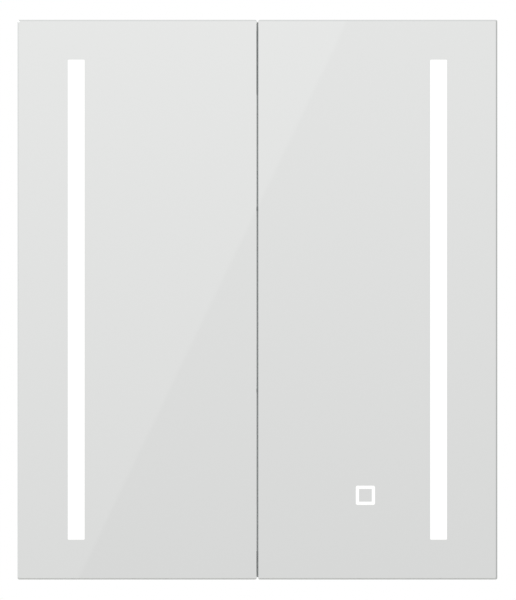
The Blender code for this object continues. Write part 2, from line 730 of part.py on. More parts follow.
def touch_ring(half, line, back, front, place):
    """A flat square ring between two depths."""
    outer_radius = TOUCH_CORNER_RADIUS
    inner_radius = TOUCH_CORNER_RADIUS / 4
    sections = (
        (half, outer_radius, back),
        (half, outer_radius, front),
        (half - line, inner_radius, front),
        (half - line, inner_radius, back),
    )
    rings = []
    for size, radius, level in sections:
        rings.append([place(inward, height, level) for inward, height in touch_square(size, radius)])
    return loft(rings, closed=True)


def add_touch_switch(mirror, side, pivot):
    """The lit ring in a groove in the pane's face, and the sensor behind the pane."""
    place = on_door(side)
    half = TOUCH_SIZE / 2
    floor = DOOR_FRONT - TOUCH_DEPTH
    groove = touch_ring(half + GAP, TOUCH_LINE + 2 * GAP, floor, DOOR_FRONT + CUT_THROUGH, place)
    combine(mirror, [groove], "DIFFERENCE")
    ring = touch_ring(half, TOUCH_LINE, floor + GAP, DOOR_FRONT, place)
    add_piece("touch_ring", ring, "opal_acrylic", pivot)
    outline = touch_square(TOUCH_MODULE_SIZE / 2, TOUCH_CORNER_RADIUS)
    module = prism(outline, FRAME_FRONT - TOUCH_MODULE_DEPTH, FRAME_FRONT, place)
    add_piece("touch_module", module, "white_abs", pivot)


def add_door(name, side):
    """One door with its hinges, from the plates on the cabinet to the cups in the door."""
    link_pivot = add_pivot(f"{name}_link_pivot", side, ARM_PIVOT)
    door_pivot = add_pivot(f"{name}_door_pivot", side, CUP_PIVOT, link_pivot)
    for level_name, level in LEVELS.items():
        hinge = f"{name}_{level_name}"
        middle = level * HINGE_HEIGHT
        add_hinge_plate(hinge, side, middle)
        add_hinge_arm(hinge, side, middle)
        add_hinge_link(hinge, side, middle, link_pivot)
        add_hinge_cup(hinge, side, middle, door_pivot)
    mirror = add_mirror(name, side, door_pivot)
    add_frame(name, side, door_pivot)
    add_inner_mirror(name, side, door_pivot)
    add_light(name, side, door_pivot)
    if name == "right":
        add_touch_switch(mirror, side, door_pivot)


def main():
    """Build the cabinet."""
    clear_scene()
    add_side_panels()
    add_top_and_bottom()
    add_back()
    add_shelves()
    add_driver()
    add_gland()
    add_bumpers()
    for name, side in SIDES.items():
        add_door(name, side)


main()
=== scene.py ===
"""Looks for a wall-hung medicine cabinet with two lit mirror doors and a touch switch.

Everything is in metres in the cabinet's own frame: the wall is the plane y = 0, the doors face
-Y and +Z is up. Places near a door are given as inward (from the cabinet's outer side), forward
(of the carcass's front edges) and height.
"""

import json
import logging
import math
from dataclasses import dataclass, field
from enum import Enum
from typing import Callable, Sequence

import bmesh
import bpy
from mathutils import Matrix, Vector


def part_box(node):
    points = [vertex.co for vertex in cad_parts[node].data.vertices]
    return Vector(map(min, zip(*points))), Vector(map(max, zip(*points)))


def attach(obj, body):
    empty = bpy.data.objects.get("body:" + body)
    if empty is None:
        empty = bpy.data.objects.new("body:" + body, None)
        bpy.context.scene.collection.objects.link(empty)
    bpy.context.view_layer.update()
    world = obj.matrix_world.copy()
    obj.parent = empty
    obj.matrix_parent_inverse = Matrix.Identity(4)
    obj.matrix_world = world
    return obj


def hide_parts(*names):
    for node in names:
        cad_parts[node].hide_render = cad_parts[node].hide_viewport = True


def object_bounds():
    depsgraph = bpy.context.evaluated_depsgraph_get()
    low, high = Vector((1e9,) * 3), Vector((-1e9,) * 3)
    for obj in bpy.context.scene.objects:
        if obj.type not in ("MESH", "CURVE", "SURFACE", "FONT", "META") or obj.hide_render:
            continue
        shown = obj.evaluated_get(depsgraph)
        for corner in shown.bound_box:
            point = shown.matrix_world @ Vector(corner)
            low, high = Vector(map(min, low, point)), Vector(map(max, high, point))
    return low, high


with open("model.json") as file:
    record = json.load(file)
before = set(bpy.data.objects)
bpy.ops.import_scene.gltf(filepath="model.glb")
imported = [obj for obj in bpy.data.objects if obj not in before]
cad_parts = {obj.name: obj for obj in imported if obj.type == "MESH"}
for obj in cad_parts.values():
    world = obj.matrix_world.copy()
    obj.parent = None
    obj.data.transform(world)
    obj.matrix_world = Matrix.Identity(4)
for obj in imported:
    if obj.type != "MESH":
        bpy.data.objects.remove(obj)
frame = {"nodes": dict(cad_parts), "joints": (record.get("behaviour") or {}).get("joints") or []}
CAD_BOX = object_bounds()

LOG = logging.getLogger("medicine_cabinet")
MM = 0.001
SOFT_ANGLE = math.radians(32)
FLAT_ANGLE = math.radians(10)
WELD = 0.005 * MM  # corners closer than this are one corner
PAST = MM  # how far a cutting tool reaches past the surface that it cuts
SUNK = 0.1 * MM  # how far a seated piece goes into what it sits on
BEDDED = 0.2 * MM  # the same, for a deeper seat
FIT = 0.3 * MM  # the step or gap between two surfaces that touch on the real cabinet
SQUARE = ((-1, -1), (1, -1), (1, 1), (-1, 1))
COLUMNS = ("back", "front")  # of shelf pins
UP = Vector((0, 0, 1))
FORTH = Vector((0, 1, 0))  # from the doors to the wall
WAVE_SCALE = math.pi / 10  # makes a wave texture repeat once for each unit of its vector

Point = tuple[float, float]
Placer = Callable[[float, float, float], Vector]
Tree = bpy.types.NodeTree
Socket = bpy.types.NodeSocket
Surface = bpy.types.NodeInputs
Mesh = bmesh.types.BMesh
Material = bpy.types.Material
Object = bpy.types.Object


class Side(Enum):
    """Which half of the cabinet a piece belongs to, with the sign of its X."""

    LEFT = -1
    RIGHT = 1

    @property
    def word(self) -> str:
        """The side's name as the parts' names have it."""
        return self.name.lower()


class Level(Enum):
    """Upper or lower of a pair, with the sign of its Z."""

    UPPER = 1
    LOWER = -1

    @property
    def word(self) -> str:
        """The level's name as the parts' names have it."""
        return self.name.lower()


END_PANELS = {Level.UPPER: "top_panel", Level.LOWER: "bottom_panel"}


# ---------------------------------------------------------------- colours and nodes


def linear(hex_colour: str) -> tuple[float, float, float, float]:
    """Turn an sRGB hex colour to the linear values that a shader takes, by the sRGB curve.

    Args:
        hex_colour: six hex digits after a hash sign.

    Returns:
        Linear red, green and blue, and an alpha of 1.
    """
    channels = []
    for start in (1, 3, 5):
        value = int(hex_colour[start : start + 2], 16) / 255
        channels.append(value / 12.92 if value <= 0.04045 else ((value + 0.055) / 1.055) ** 2.4)
    return (channels[0], channels[1], channels[2], 1.0)


def add_node(
    tree: Tree, kind: str, inputs: dict | None = None, feeds: dict | None = None, **settings: object
) -> bpy.types.Node:
    """Add a node with its settings, its input values and its links.

    Args:
        tree: the node tree that takes it.
        kind: the node's type name.
        inputs: input name or index to a value, or to the output socket that feeds it.
        feeds: output name or index to the input socket that it feeds.
        settings: the node's own properties.

    Returns:
        The new node.
    """
    node = tree.nodes.new(kind)
    for name, value in settings.items():
        setattr(node, name, value)
    for key, value in (inputs or {}).items():
        if isinstance(value, Socket):
            tree.links.new(value, node.inputs[key])
        else:
            node.inputs[key].default_value = value
    for key, socket in (feeds or {}).items():
        tree.links.new(node.outputs[key], socket)
    return node


def repeats_of(tree: Tree, size: Sequence[float]) -> Socket:
    """Coordinates on the cabinet that count a pattern's repeats.

    Args:
        tree: the material's node tree.
        size: the pattern's repeat along X, Y and Z, in millimetres.

    Returns:
        The socket that a texture's Vector takes.
    """
    place = add_node(tree, "ShaderNodeTexCoord")
    scale = [1 / (length * MM) for length in size]
    inputs = {"Vector": place.outputs["Object"], "Scale": scale}
    return add_node(tree, "ShaderNodeMapping", inputs).outputs[0]


def mottle(tree: Tree, size: Sequence[float], layers: float = 2.0, twist: float = 0.0) -> Socket:
    """An uneven pattern that fills the range from 0 to 1.

    Args:
        tree: the material's node tree.
        size: its grain along X, Y and Z, in millimetres.
        layers: how many finer layers it has.
        twist: how far its grain is bent.

    Returns:
        The socket with the pattern.
    """
    inputs = {"Vector": repeats_of(tree, size), "Scale": 1.0, "Detail": layers, "Distortion": twist}
    noise = add_node(tree, "ShaderNodeTexNoise", inputs)
    evened = {"Value": noise.outputs[0], "From Min": 0.25, "From Max": 0.75}
    return add_node(tree, "ShaderNodeMapRange", evened, interpolation_type="SMOOTHSTEP").outputs[0]


def waves(tree: Tree, pitch: float, direction: str, wander: float) -> Socket:
    """Rows of even waves.

    Args:
        tree: the material's node tree.
        pitch: the distance from one wave to the next, in millimetres.
        direction: the axis that the rows follow one another along.
        wander: how far the rows stray.

    Returns:
        The socket with the pattern.
    """
    inputs = {"Vector": repeats_of(tree, [pitch] * 3), "Scale": WAVE_SCALE, "Distortion": wander}
    return add_node(tree, "ShaderNodeTexWave", inputs, bands_direction=direction).outputs["Fac"]


# ---------------------------------------------------------------- finishes


class Grain(Enum):
    """The kinds of pattern that a surface can have."""

    MOTTLE = "uneven patches"
    ROWS = "even rows along X"
    WIRES = "crossed wires with fibres between them"
    PEBBLE = "round pebbles"


@dataclass(frozen=True)
class Layer:
    """One pattern on a surface, and how it raises, dulls and tints it.

    Its size is the pattern's real size, or what it is drawn at where the real one would be too
    fine to show. Its detail and bend are the mottle's, its depth is the height between its low
    and its high places, and its low colour is what it tints the low places. Where a layer has a
    depth and a darker low colour, that tint is painted shade in its sunken places.
    """

    size_mm: tuple[float, float, float]
    depth_mm: float = 0.0
    dulling: float = 0.0
    low_colour: str = ""
    detail: float = 2.0
    bend: float = 0.0
    grain: Grain = Grain.MOTTLE
    fibre_mm: float = 5.0
    fibre_bend: float = 0.6
    fibre_share: float = 0.45

    def pattern(self, tree: Tree) -> Socket:
        """Add the pattern's nodes.

        Args:
            tree: the material's node tree.

        Returns:
            The socket with the pattern.
        """
        if self.grain is Grain.ROWS:
            return waves(tree, self.size_mm[0], "X", self.bend)
        if self.grain is Grain.PEBBLE:
            place = {"Vector": repeats_of(tree, self.size_mm), "Scale": 1.0}
            return add_node(tree, "ShaderNodeTexVoronoi", place).outputs["Distance"]
        if self.grain is Grain.MOTTLE:
            return mottle(tree, self.size_mm, self.detail, self.bend)
        lengths = (self.fibre_mm, self.fibre_mm, self.fibre_mm / 2)
        fibre = mottle(tree, lengths, self.detail, self.fibre_bend)
        wires = [waves(tree, self.size_mm[0], direction, self.bend) for direction in ("X", "Z")]
        mesh = add_node(tree, "ShaderNodeMath", dict(enumerate(wires)), operation="MULTIPLY")
        shares = {"Factor": self.fibre_share, "A": mesh.outputs[0], "B": fibre}
        return add_node(tree, "ShaderNodeMix", shares, data_type="FLOAT").outputs[0]


@dataclass(frozen=True)
class Finish:
    """What a surface is made of and how it was made: its even values and its layers."""

    name: str
    colour: str
    roughness: float
    layers: tuple[Layer, ...]
    metallic: float = 0.0
    ior: float = 1.5
    others: tuple[tuple[str, float], ...] = ()

    def build(self) -> Material:
        """Make the material, or give back the one already made.

        Returns:
            The material.
        """
        known = bpy.data.materials.get(self.name)
        if known:
            return known
        material = bpy.data.materials.new(self.name)
        material.use_nodes = True
        surface = material.node_tree.nodes["Principled BSDF"].inputs
        surface["Base Color"].default_value = linear(self.colour)
        even = {"Roughness": self.roughness, "Metallic": self.metallic, **dict(self.others)}
        if not self.metallic:
            even["IOR"] = self.ior
        for name, value in even.items():
            surface[name].default_value = value
        for layer in self.layers:
            self.lay(material.node_tree, surface, layer)
        return material

    def lay(self, tree: Tree, surface: Surface, layer: Layer) -> None:
        """Let a layer raise, dull and tint the surface.

        Args:
            tree: the material's node tree.
            surface: its shader's inputs.
            layer: the layer.
        """
        pattern = layer.pattern(tree)
        if layer.depth_mm:
            relief = {"Height": pattern, "Distance": layer.depth_mm * MM}
            add_node(tree, "ShaderNodeBump", relief, {0: surface["Normal"]})
        if layer.low_colour:
            tint = {0: pattern, 6: linear(layer.low_colour), 7: linear(self.colour)}
            add_node(tree, "ShaderNodeMix", tint, {2: surface["Base Color"]}, data_type="RGBA")
        if layer.dulling:
            gloss = {0: pattern, 1: layer.dulling, 2: self.roughness}
            add_node(tree, "ShaderNodeMath", gloss, {0: surface["Roughness"]}, operation="MULTIPLY_ADD")


def glass_edge(name: str, colour: str, roughness: float, deep_colour: str) -> Finish:
    """The thick of a clear float sheet, ground by a wheel and then polished.

    Iron in the glass gives the green, which drifts in depth along the edge.
    """
    drift = Layer((18.0, 18.0, 18.0), low_colour=deep_colour)
    return Finish(name, colour, roughness, (WHEEL_STREAKS, drift))


def plated(name: str, colour: str, roughness: float, dent_shade_colour: str) -> Finish:
    """Steel strip stamped, tumbled and then plated.

    The eye gets a bright grey with soft-edged highlights, broken by the tumbling's fine dents
    and a few rubbed streaks along the arm. The dents are tinted a darker grey, as painted shade
    in them.
    """
    layers = (Layer((2.5, 2.5, 2.5), 0.004, low_colour=dent_shade_colour, detail=3.0), RUBBED_STREAKS)
    return Finish(name, colour, roughness, layers, metallic=1.0)


def moulded(
    name: str,
    colour: str,
    roughness: float,
    ior: float = 1.5,
    pebble_mm: float = 1.2,
    depth_mm: float = 0.03,
    clearness: float = 0.0,
) -> Finish:
    """Plastic moulded in a spark-eroded tool, which leaves an even fine pebble.

    A real pebble is 0.3 mm across, and is drawn at 1 mm or more, because it would be too fine to
    show. The sheen changes slowly where the melt flowed.

    Args:
        name: the material's name.
        colour: its colour, as sRGB hex.
        roughness: its roughness where it is smoothest.
        ior: the plastic's refractive index.
        pebble_mm: how wide a pebble is drawn.
        depth_mm: how deep the pebble is.
        clearness: how much light passes.

    Returns:
        The finish.
    """
    pebble = Layer((pebble_mm, pebble_mm, pebble_mm), depth_mm, grain=Grain.PEBBLE)
    flow = Layer((25.0, 25.0, 25.0), dulling=0.12)
    passing = (("Transmission Weight", clearness),)
    return Finish(name, colour, roughness, (pebble, flow), ior=ior, others=passing)


# Float glass silvered behind a flat fire-polished face: a clean reflection, with the faint roller
# wave of the float line and the last trace of a wiped-off haze.
ROLLER_WAVE = Layer((70.0, 70.0, 70.0), 0.006, detail=1.0)
HAZE = Layer((45.0, 45.0, 135.0), dulling=0.012, detail=4.0)
MIRROR = Finish("silvered_float_glass", "#F3F4F3", 0.0, (ROLLER_WAVE, HAZE), metallic=1.0)
# Glass ground by a wheel and polished: a bright line with fine streaks that follow the edge.
WHEEL_STREAKS = Layer((1.2, 1.2, 60.0), dulling=0.1, detail=3.0)
ARRIS = Finish("polished_glass_arris", "#EEF0EF", 0.04, (WHEEL_STREAKS,), metallic=1.0)
PANE_EDGE = glass_edge("polished_pane_edge", "#A9C4B8", 0.08, "#5E8C7C")
SHELF_EDGE = glass_edge("polished_shelf_edge", "#8FBBA9", 0.06, "#4F8873")
# Protective paint rolled on the back of the silver: matt, with a roller's stipple.
STIPPLE = Layer((3.0, 3.0, 3.0), 0.08, 0.16)
PANE_BACK = Finish("rolled_mirror_back_paint", "#7D8587", 0.47, (STIPPLE,))
# Sandblasted glass, with white LEDs far enough behind it to blend into one glow: an even white,
# and a fine grit where light from outside grazes it. The grit of 0.1 mm is drawn at 0.8 mm.
GRIT = Layer((0.8, 0.8, 0.8), 0.03, 0.2)
GLOW = (("Emission Strength", 0.8),)
LIT_FROST = Finish("sandblasted_lit_glass", "#9A9A98", 0.4, (GRIT,), others=GLOW)
# White lacquer sprayed on fibreboard and sanded between coats: a soft sheen with a faint orange
# peel. The peel of a real coat is 1 to 2 mm across, and is drawn at 5 mm.
COAT = (("Coat Weight", 0.25), ("Coat Roughness", 0.12))
CLOUD = Layer((120.0, 120.0, 120.0), 0.0, 0.1, "#F0F0EC", detail=4.0)
PEEL = Layer((5.0, 5.0, 5.0), 0.022)
WHITE_LACQUER = Finish("sprayed_white_lacquer", "#F4F4F1", 0.26, (PEEL, CLOUD), others=COAT)
# Melamine facing pressed against a plate with a fine texture, flatter in sheen than lacquer.
PRESSED = Layer((3.0, 3.0, 3.0), 0.03)
WHITE_FACING = Finish("pressed_white_melamine", "#EFEFEC", 0.38, (PRESSED, CLOUD), others=COAT)
# Hardboard pressed on a wire mesh and left raw: a warm brown of matted fibres under the print of
# the mesh, whose 1.3 mm wires are drawn 3 mm apart. The sunken lines of the print are tinted a
# darker brown, as painted shade in them.
PRINT = Layer((3.0, 3.0, 3.0), 0.3, low_colour="#7A5C40", detail=6.0, bend=0.4, grain=Grain.WIRES)
RAW_HARDBOARD = Finish("pressed_raw_hardboard", "#A58260", 0.75, (PRINT,))
RUBBED_STREAKS = Layer((1.5, 14.0, 1.5), dulling=0.08)
# Plated steels whose dents are tinted darker, as painted shade in them.
NICKEL = plated("tumbled_nickel_plated_steel", "#DEDBD4", 0.2, "#D3CFC7")
ZINC = plated("tumbled_zinc_plated_steel", "#C3C6CC", 0.28, "#B6BAC0")
# Free-cutting steel turned on an automatic lathe and plated: fine rings round the axis X.
RINGS = Layer((0.5, 0.5, 0.5), 0.01, 0.12, bend=0.3, grain=Grain.ROWS)
PIN_STEEL = Finish("turned_nickel_plated_steel", "#CFCCC5", 0.18, (RINGS,), metallic=1.0)
# Clear float glass: light passes with a slight green, and a few wipe marks stay on it.
WIPES = Layer((90.0, 30.0, 30.0), dulling=0.03, detail=3.0)
CLEAR = (("Transmission Weight", 1.0),)
CLEAR_GLASS = Finish("clear_float_glass", "#F2FAF6", 0.0, (WIPES,), ior=1.52, others=CLEAR)
WHITE_ABS = moulded("moulded_white_abs", "#E6E6E2", 0.38, ior=1.54)
GREY_ABS = moulded("moulded_grey_abs", "#8E9294", 0.42, ior=1.54)
BLACK_NYLON = moulded("moulded_black_nylon", "#17181A", 0.45, ior=1.53)
BLACK_RUBBER = moulded("moulded_black_rubber", "#0F0F10", 0.65, ior=1.52, pebble_mm=2.0)
# Cast in open drops, this stays cloudy, with a smooth skin that catches a soft light.
DROP_RUBBER = moulded(
    "cast_clear_polyurethane", "#F1F2F1", 0.15, pebble_mm=3.0, depth_mm=0.02, clearness=0.25
)
# Needled polyester felt: matt grey, with short fibres lying every way. Single fibres are 0.02 mm
# thick, and are drawn as tufts of 0.9 mm. The low places between the tufts are tinted darker, as
# painted shade between them. The strip of this felt in the gap between the doors is itself painted
# shade there.
TUFTS = Layer((0.9, 0.9, 0.9), 0.1, low_colour="#8A8C8D", detail=3.0, bend=0.8)
GAP_SHADE_FELT = Finish("needled_grey_felt", "#AEB0B1", 0.95, (TUFTS,), others=(("Sheen Weight", 0.3),))
# Aluminium pushed through a die and satin anodised: straight lines along its length, Z.
DIE_LINES = Layer((0.6, 0.6, 240.0), 0.01, 0.16, detail=4.0)
ALUMINIUM = Finish("extruded_anodised_aluminium", "#C8CACC", 0.28, (DIE_LINES,), metallic=1.0)
TAPE = moulded("printed_white_circuit_tape", "#EDEDE8", 0.32)
# Floor paint, satin and so pale that its shadows stay soft. It has no pattern, being the room's.
FLOOR_PAINT = Finish("painted_pale_floor", "#D2D2D0", 0.7, ())


# ---------------------------------------------------------------- outlines and meshes


def arc(centre: Point, radius: float, start: float, end: float, steps: int = 6) -> list[Point]:
    """Points along an arc, with both ends.

    Args:
        centre: its centre.
        radius: its radius.
        start: where it starts, in degrees.
        end: where it ends, in degrees.
        steps: how many straight pieces it has.

    Returns:
        The points in order.
    """
    turns = [math.radians(start + (end - start) * i / steps) for i in range(steps + 1)]
    return [(centre[0] + radius * math.cos(t), centre[1] + radius * math.sin(t)) for t in turns]


def circle(centre: Point, radius: float, sides: int = 40) -> list[Point]:
    """A full ring of points."""
    return arc(centre, radius, 0, 360, sides)[:-1]


def rounded(low: Point, high: Point, radius: float, steps: int = 6) -> list[Point]:
    """A rectangle between two opposite corners, with round corners.

    Args:
        low: its lowest corner.
        high: its highest corner.
        radius: the radius of each corner.
        steps: how many straight pieces each corner has.

    Returns:
        The outline's points, anticlockwise.
    """
    corners = (
        ((high[0] - radius, low[1] + radius), 270),
        ((high[0] - radius, high[1] - radius), 0),
        ((low[0] + radius, high[1] - radius), 90),
        ((low[0] + radius, low[1] + radius), 180),
    )
    arcs = [arc(centre, radius, start, start + 90, steps) for centre, start in corners]
    return [point for points in arcs for point in points]


def loft(rings: Sequence[Sequence[Vector]], closed: bool = False) -> Mesh:
    """Skin a row of rings that have equal counts.

    Args:
        rings: the rings in order.
        closed: whether the last ring joins the first, instead of both being capped.

    Returns:
        A closed mesh that faces out.
    """
    mesh = bmesh.new()
    rows = [[mesh.verts.new(point) for point in ring] for ring in rings]
    pairs = list(zip(rows, rows[1:]))
    if closed:
        pairs.append((rows[-1], rows[0]))
    else:
        mesh.faces.new(rows[0])
        mesh.faces.new(rows[-1])
    for first, second in pairs:
        for i in range(len(first)):
            j = (i + 1) % len(first)
            mesh.faces.new((first[i], first[j], second[j], second[i]))
    bmesh.ops.recalc_face_normals(mesh, faces=mesh.faces)
    return mesh


def soften(mesh: Mesh, width: float, segments: int = 2) -> Mesh:
    """Round every sharp edge of a mesh.

    Args:
        mesh: the mesh, which is changed.
        width: how far the rounding reaches from an edge.
        segments: how many strips the rounding has.

    Returns:
        The same mesh.
    """
    edges = [edge for edge in mesh.edges if len(edge.link_faces) == 2]
    sharp = [edge for edge in edges if edge.calc_face_angle(0.0) > SOFT_ANGLE]
    shape = {"offset": width, "segments": segments, "profile": 0.5, "clamp_overlap": True}
    bmesh.ops.bevel(mesh, geom=sharp, affect="EDGES", **shape)
    return mesh


def prism(
    outline: Sequence[Point], low: float, high: float, place: Placer, softness: float = 0.0
) -> Mesh:
    """Push a flat outline from one level to another.

    Args:
        outline: its points.
        low: the first level.
        high: the second level.
        place: turns an outline point and a level to a place in the room.
        softness: how far its edges are rounded.

    Returns:
        A closed mesh.
    """
    mesh = loft([[place(a, b, level) for a, b in outline] for level in (low, high)])
    return soften(mesh, softness) if softness else mesh


def tube(
    outer: Sequence[Point], inner: Sequence[Point], front: float, back: float, place: Placer
) -> Mesh:
    """A ring with a hole through it.

    Args:
        outer: its outer outline.
        inner: its inner outline, with as many points.
        front: the first level.
        back: the second level.
        place: turns an outline point and a level to a place in the room.

    Returns:
        A closed mesh.
    """
    sections = ((outer, back), (outer, front), (inner, front), (inner, back))
    rings = [[place(a, b, level) for a, b in outline] for outline, level in sections]
    return loft(rings, closed=True)


def turned(profile: Sequence[Point], centre: Vector, axis: Vector, sides: int = 40) -> Mesh:
    """Turn a profile about an axis, as on a lathe.

    Args:
        profile: pairs of distance along the axis and radius, from one end to the other.
        centre: where the distance is zero.
        axis: the axis's unit direction.
        sides: how many sides the turning has.

    Returns:
        A closed mesh with flat ends.
    """
    first = axis.orthogonal().normalized()
    second = axis.cross(first)
    rings = []
    for along, radius in profile:
        ring = circle((0.0, 0.0), radius, sides)
        rings.append([centre + axis * along + first * a + second * b for a, b in ring])
    return loft(rings)


def hidden_object(mesh: Mesh) -> Object:
    """An object for one step of work.

    Args:
        mesh: its mesh, which is used up.

    Returns:
        The object, linked to the scene.
    """
    data = bpy.data.meshes.new("working")
    mesh.to_mesh(data)
    mesh.free()
    thing = bpy.data.objects.new("working", data)
    bpy.context.scene.collection.objects.link(thing)
    return thing


def carved(mesh: Mesh, tools: Sequence[Mesh]) -> Mesh:
    """Cut tools out of a mesh.

    Args:
        mesh: the mesh to cut, which is used up.
        tools: closed meshes to take away, which are used up.

    Returns:
        What is left.
    """
    body = hidden_object(mesh)
    cutters = [hidden_object(tool) for tool in tools]
    for cutter in cutters:
        modifier = body.modifiers.new("cut", "BOOLEAN")
        modifier.operation = "DIFFERENCE"
        modifier.object = cutter
    graph = bpy.context.evaluated_depsgraph_get()
    result = bmesh.new()
    result.from_mesh(body.evaluated_get(graph).to_mesh())
    for thing in (body, *cutters):
        bpy.data.objects.remove(thing)
    bmesh.ops.remove_doubles(result, verts=result.verts, dist=WELD)
    bmesh.ops.dissolve_degenerate(result, edges=result.edges, dist=WELD)
    return result


def joined(meshes: Sequence[Mesh]) -> Mesh:
    """Put several meshes into one.

    Args:
        meshes: closed meshes, which are used up.

    Returns:
        One mesh with all of their shells.
    """
    whole = bmesh.new()
    for mesh in meshes:
        data = bpy.data.meshes.new("working")
        mesh.to_mesh(data)
        mesh.free()
        whole.from_mesh(data)
        bpy.data.meshes.remove(data)
    return whole


def paint(mesh: Mesh, rule: Callable[[Vector, Vector], int]) -> Mesh:
    """Choose the finish of each face.

    Args:
        mesh: the mesh, which is changed.
        rule: gives a finish's index from a face's normal and its middle.

    Returns:
        The same mesh.
    """
    mesh.normal_update()
    for face in mesh.faces:
        face.material_index = rule(face.normal, face.calc_center_median())
    return mesh


@dataclass(frozen=True)
class Part:
    """What a finished piece belongs to: its body, and a slot name that the piece is not given.

    The add method hides the solids that a piece stands for.
    """

    body: str
    slot: str

    def add(
        self,
        name: str,
        mesh: Mesh,
        finishes: Sequence[Finish],
        replaced: Sequence[str] = (),
        sharp: float = SOFT_ANGLE,
    ) -> Object:
        """Make a visible piece.

        Args:
            name: the piece's name.
            mesh: its mesh in the cabinet's frame, which is used up.
            finishes: its finishes, in the order of its faces' indices.
            replaced: the solids that it stands for.
            sharp: the angle between faces from which an edge looks sharp.

        Returns:
            The piece's object.
        """
        data = bpy.data.meshes.new(name)
        mesh.to_mesh(data)
        mesh.free()
        for finish in finishes:
            data.materials.append(finish.build())
        data.shade_smooth()
        data.set_sharp_from_angle(angle=sharp)
        piece = bpy.data.objects.new(name, data)
        bpy.context.scene.collection.objects.link(piece)
        shading = piece.modifiers.new("flats_stay_flat", "WEIGHTED_NORMAL")
        shading.keep_sharp = True
        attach(piece, self.body)
        if replaced:
            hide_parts(*replaced)
        LOG.info("made %s with %d faces", name, len(data.polygons))
        return piece


def seen_from_front(across: float, height: float, y: float) -> Vector:
    """Place for an outline drawn on the wall's plane."""
    return Vector((across, y, height))


def seen_from_side(y: float, height: float, across: float) -> Vector:
    """Place for an outline drawn on a side panel."""
    return Vector((across, y, height))


def seen_from_above(across: float, y: float, height: float) -> Vector:
    """Place for an outline drawn in plan."""
    return Vector((across, y, height))


def flat(low: Vector, high: Vector, first: int, second: int) -> tuple[Point, Point]:
    """Two opposite corners of a box on a pair of axes."""
    return (low[first], low[second]), (high[first], high[second])


def rounded_block(low: Vector, high: Vector, softness: float) -> Mesh:
    """A box between two corners with its edges rounded."""
    outline = [(low.x, low.z), (high.x, low.z), (high.x, high.z), (low.x, high.z)]
    return prism(outline, low.y, high.y, seen_from_front, softness)


@dataclass(frozen=True)
class ScrewHead:
    """A pan head with a cross recess, and a short length of shank.

    The shares are of the head's height for its rim, and of its radius for the rest.
    """

    radius: float = 0.0033
    height: float = 0.0012
    shank: float = 0.002
    recess: float = 0.0021
    slot: float = 0.0007
    sides: int = 28
    rim_share: float = 0.35
    shank_share: float = 0.5
    neck_share: float = 0.55
    underside_share: float = 0.97
    dome_steps: int = 6
    dome_fullness: float = 0.6

    def profile(self) -> list[Point]:
        """The outline from the shank's end to the crown.

        Returns:
            Pairs of distance along the axis and radius.
        """
        rim = self.height * self.rim_share
        points = [
            (-self.shank, self.radius * self.shank_share),
            (0.0, self.radius * self.neck_share),
            (0.0, self.radius * self.underside_share),
            (rim * 0.4, self.radius),
        ]
        for step in range(1, self.dome_steps):
            angle = math.radians(90 * step / self.dome_steps)
            rise = rim + (self.height - rim) * math.sin(angle)
            points.append((rise, self.radius * math.cos(angle) ** self.dome_fullness))
        return points

    def recess_tool(self, base: Vector, axis: Vector, along: Vector) -> Mesh:
        """One bar of the cross recess, shorter at its bottom than at its top.

        Args:
            base: the middle of the head's underside.
            axis: the way the head faces.
            along: the way the bar lies.

        Returns:
            The tool to cut with.
        """
        across = axis.cross(along)
        half_slot = self.slot * 0.5
        rings = []
        for depth, reach in ((self.height * 0.1, 0.45), (self.height * 1.6, 1.0)):
            centre = base + axis * depth
            corners = [(a * self.recess * reach, b * half_slot) for a, b in SQUARE]
            rings.append([centre + along * a + across * b for a, b in corners])
        return loft(rings)

    def mesh(self, base: Vector, axis: Vector, turn: float) -> Mesh:
        """Make one head.

        Args:
            base: the middle of the head's underside.
            axis: the way the head faces.
            turn: the recess's turn, in degrees.

        Returns:
            The head's mesh.
        """
        head = turned(self.profile(), base, axis, self.sides)
        first = axis.orthogonal().normalized()
        second = axis.cross(first)
        tools = []
        for angle in (math.radians(turn), math.radians(turn + 90)):
            along = first * math.cos(angle) + second * math.sin(angle)
            tools.append(self.recess_tool(base, axis, along))
        return carved(head, tools)


def screws(places: Sequence[tuple[Vector, Vector]], head: ScrewHead) -> Mesh:
    """Several screw heads in one mesh, each recess turned its own way.

    Args:
        places: each head's underside and the way it faces.
        head: the head's sizes.

    Returns:
        The heads.
    """
    first_turn, golden_angle = 20, 137.5
    turns = [first_turn + golden_angle * i for i in range(len(places))]
    return joined([head.mesh(base, axis, turn) for (base, axis), turn in zip(places, turns)])


# ---------------------------------------------------------------- the carcass


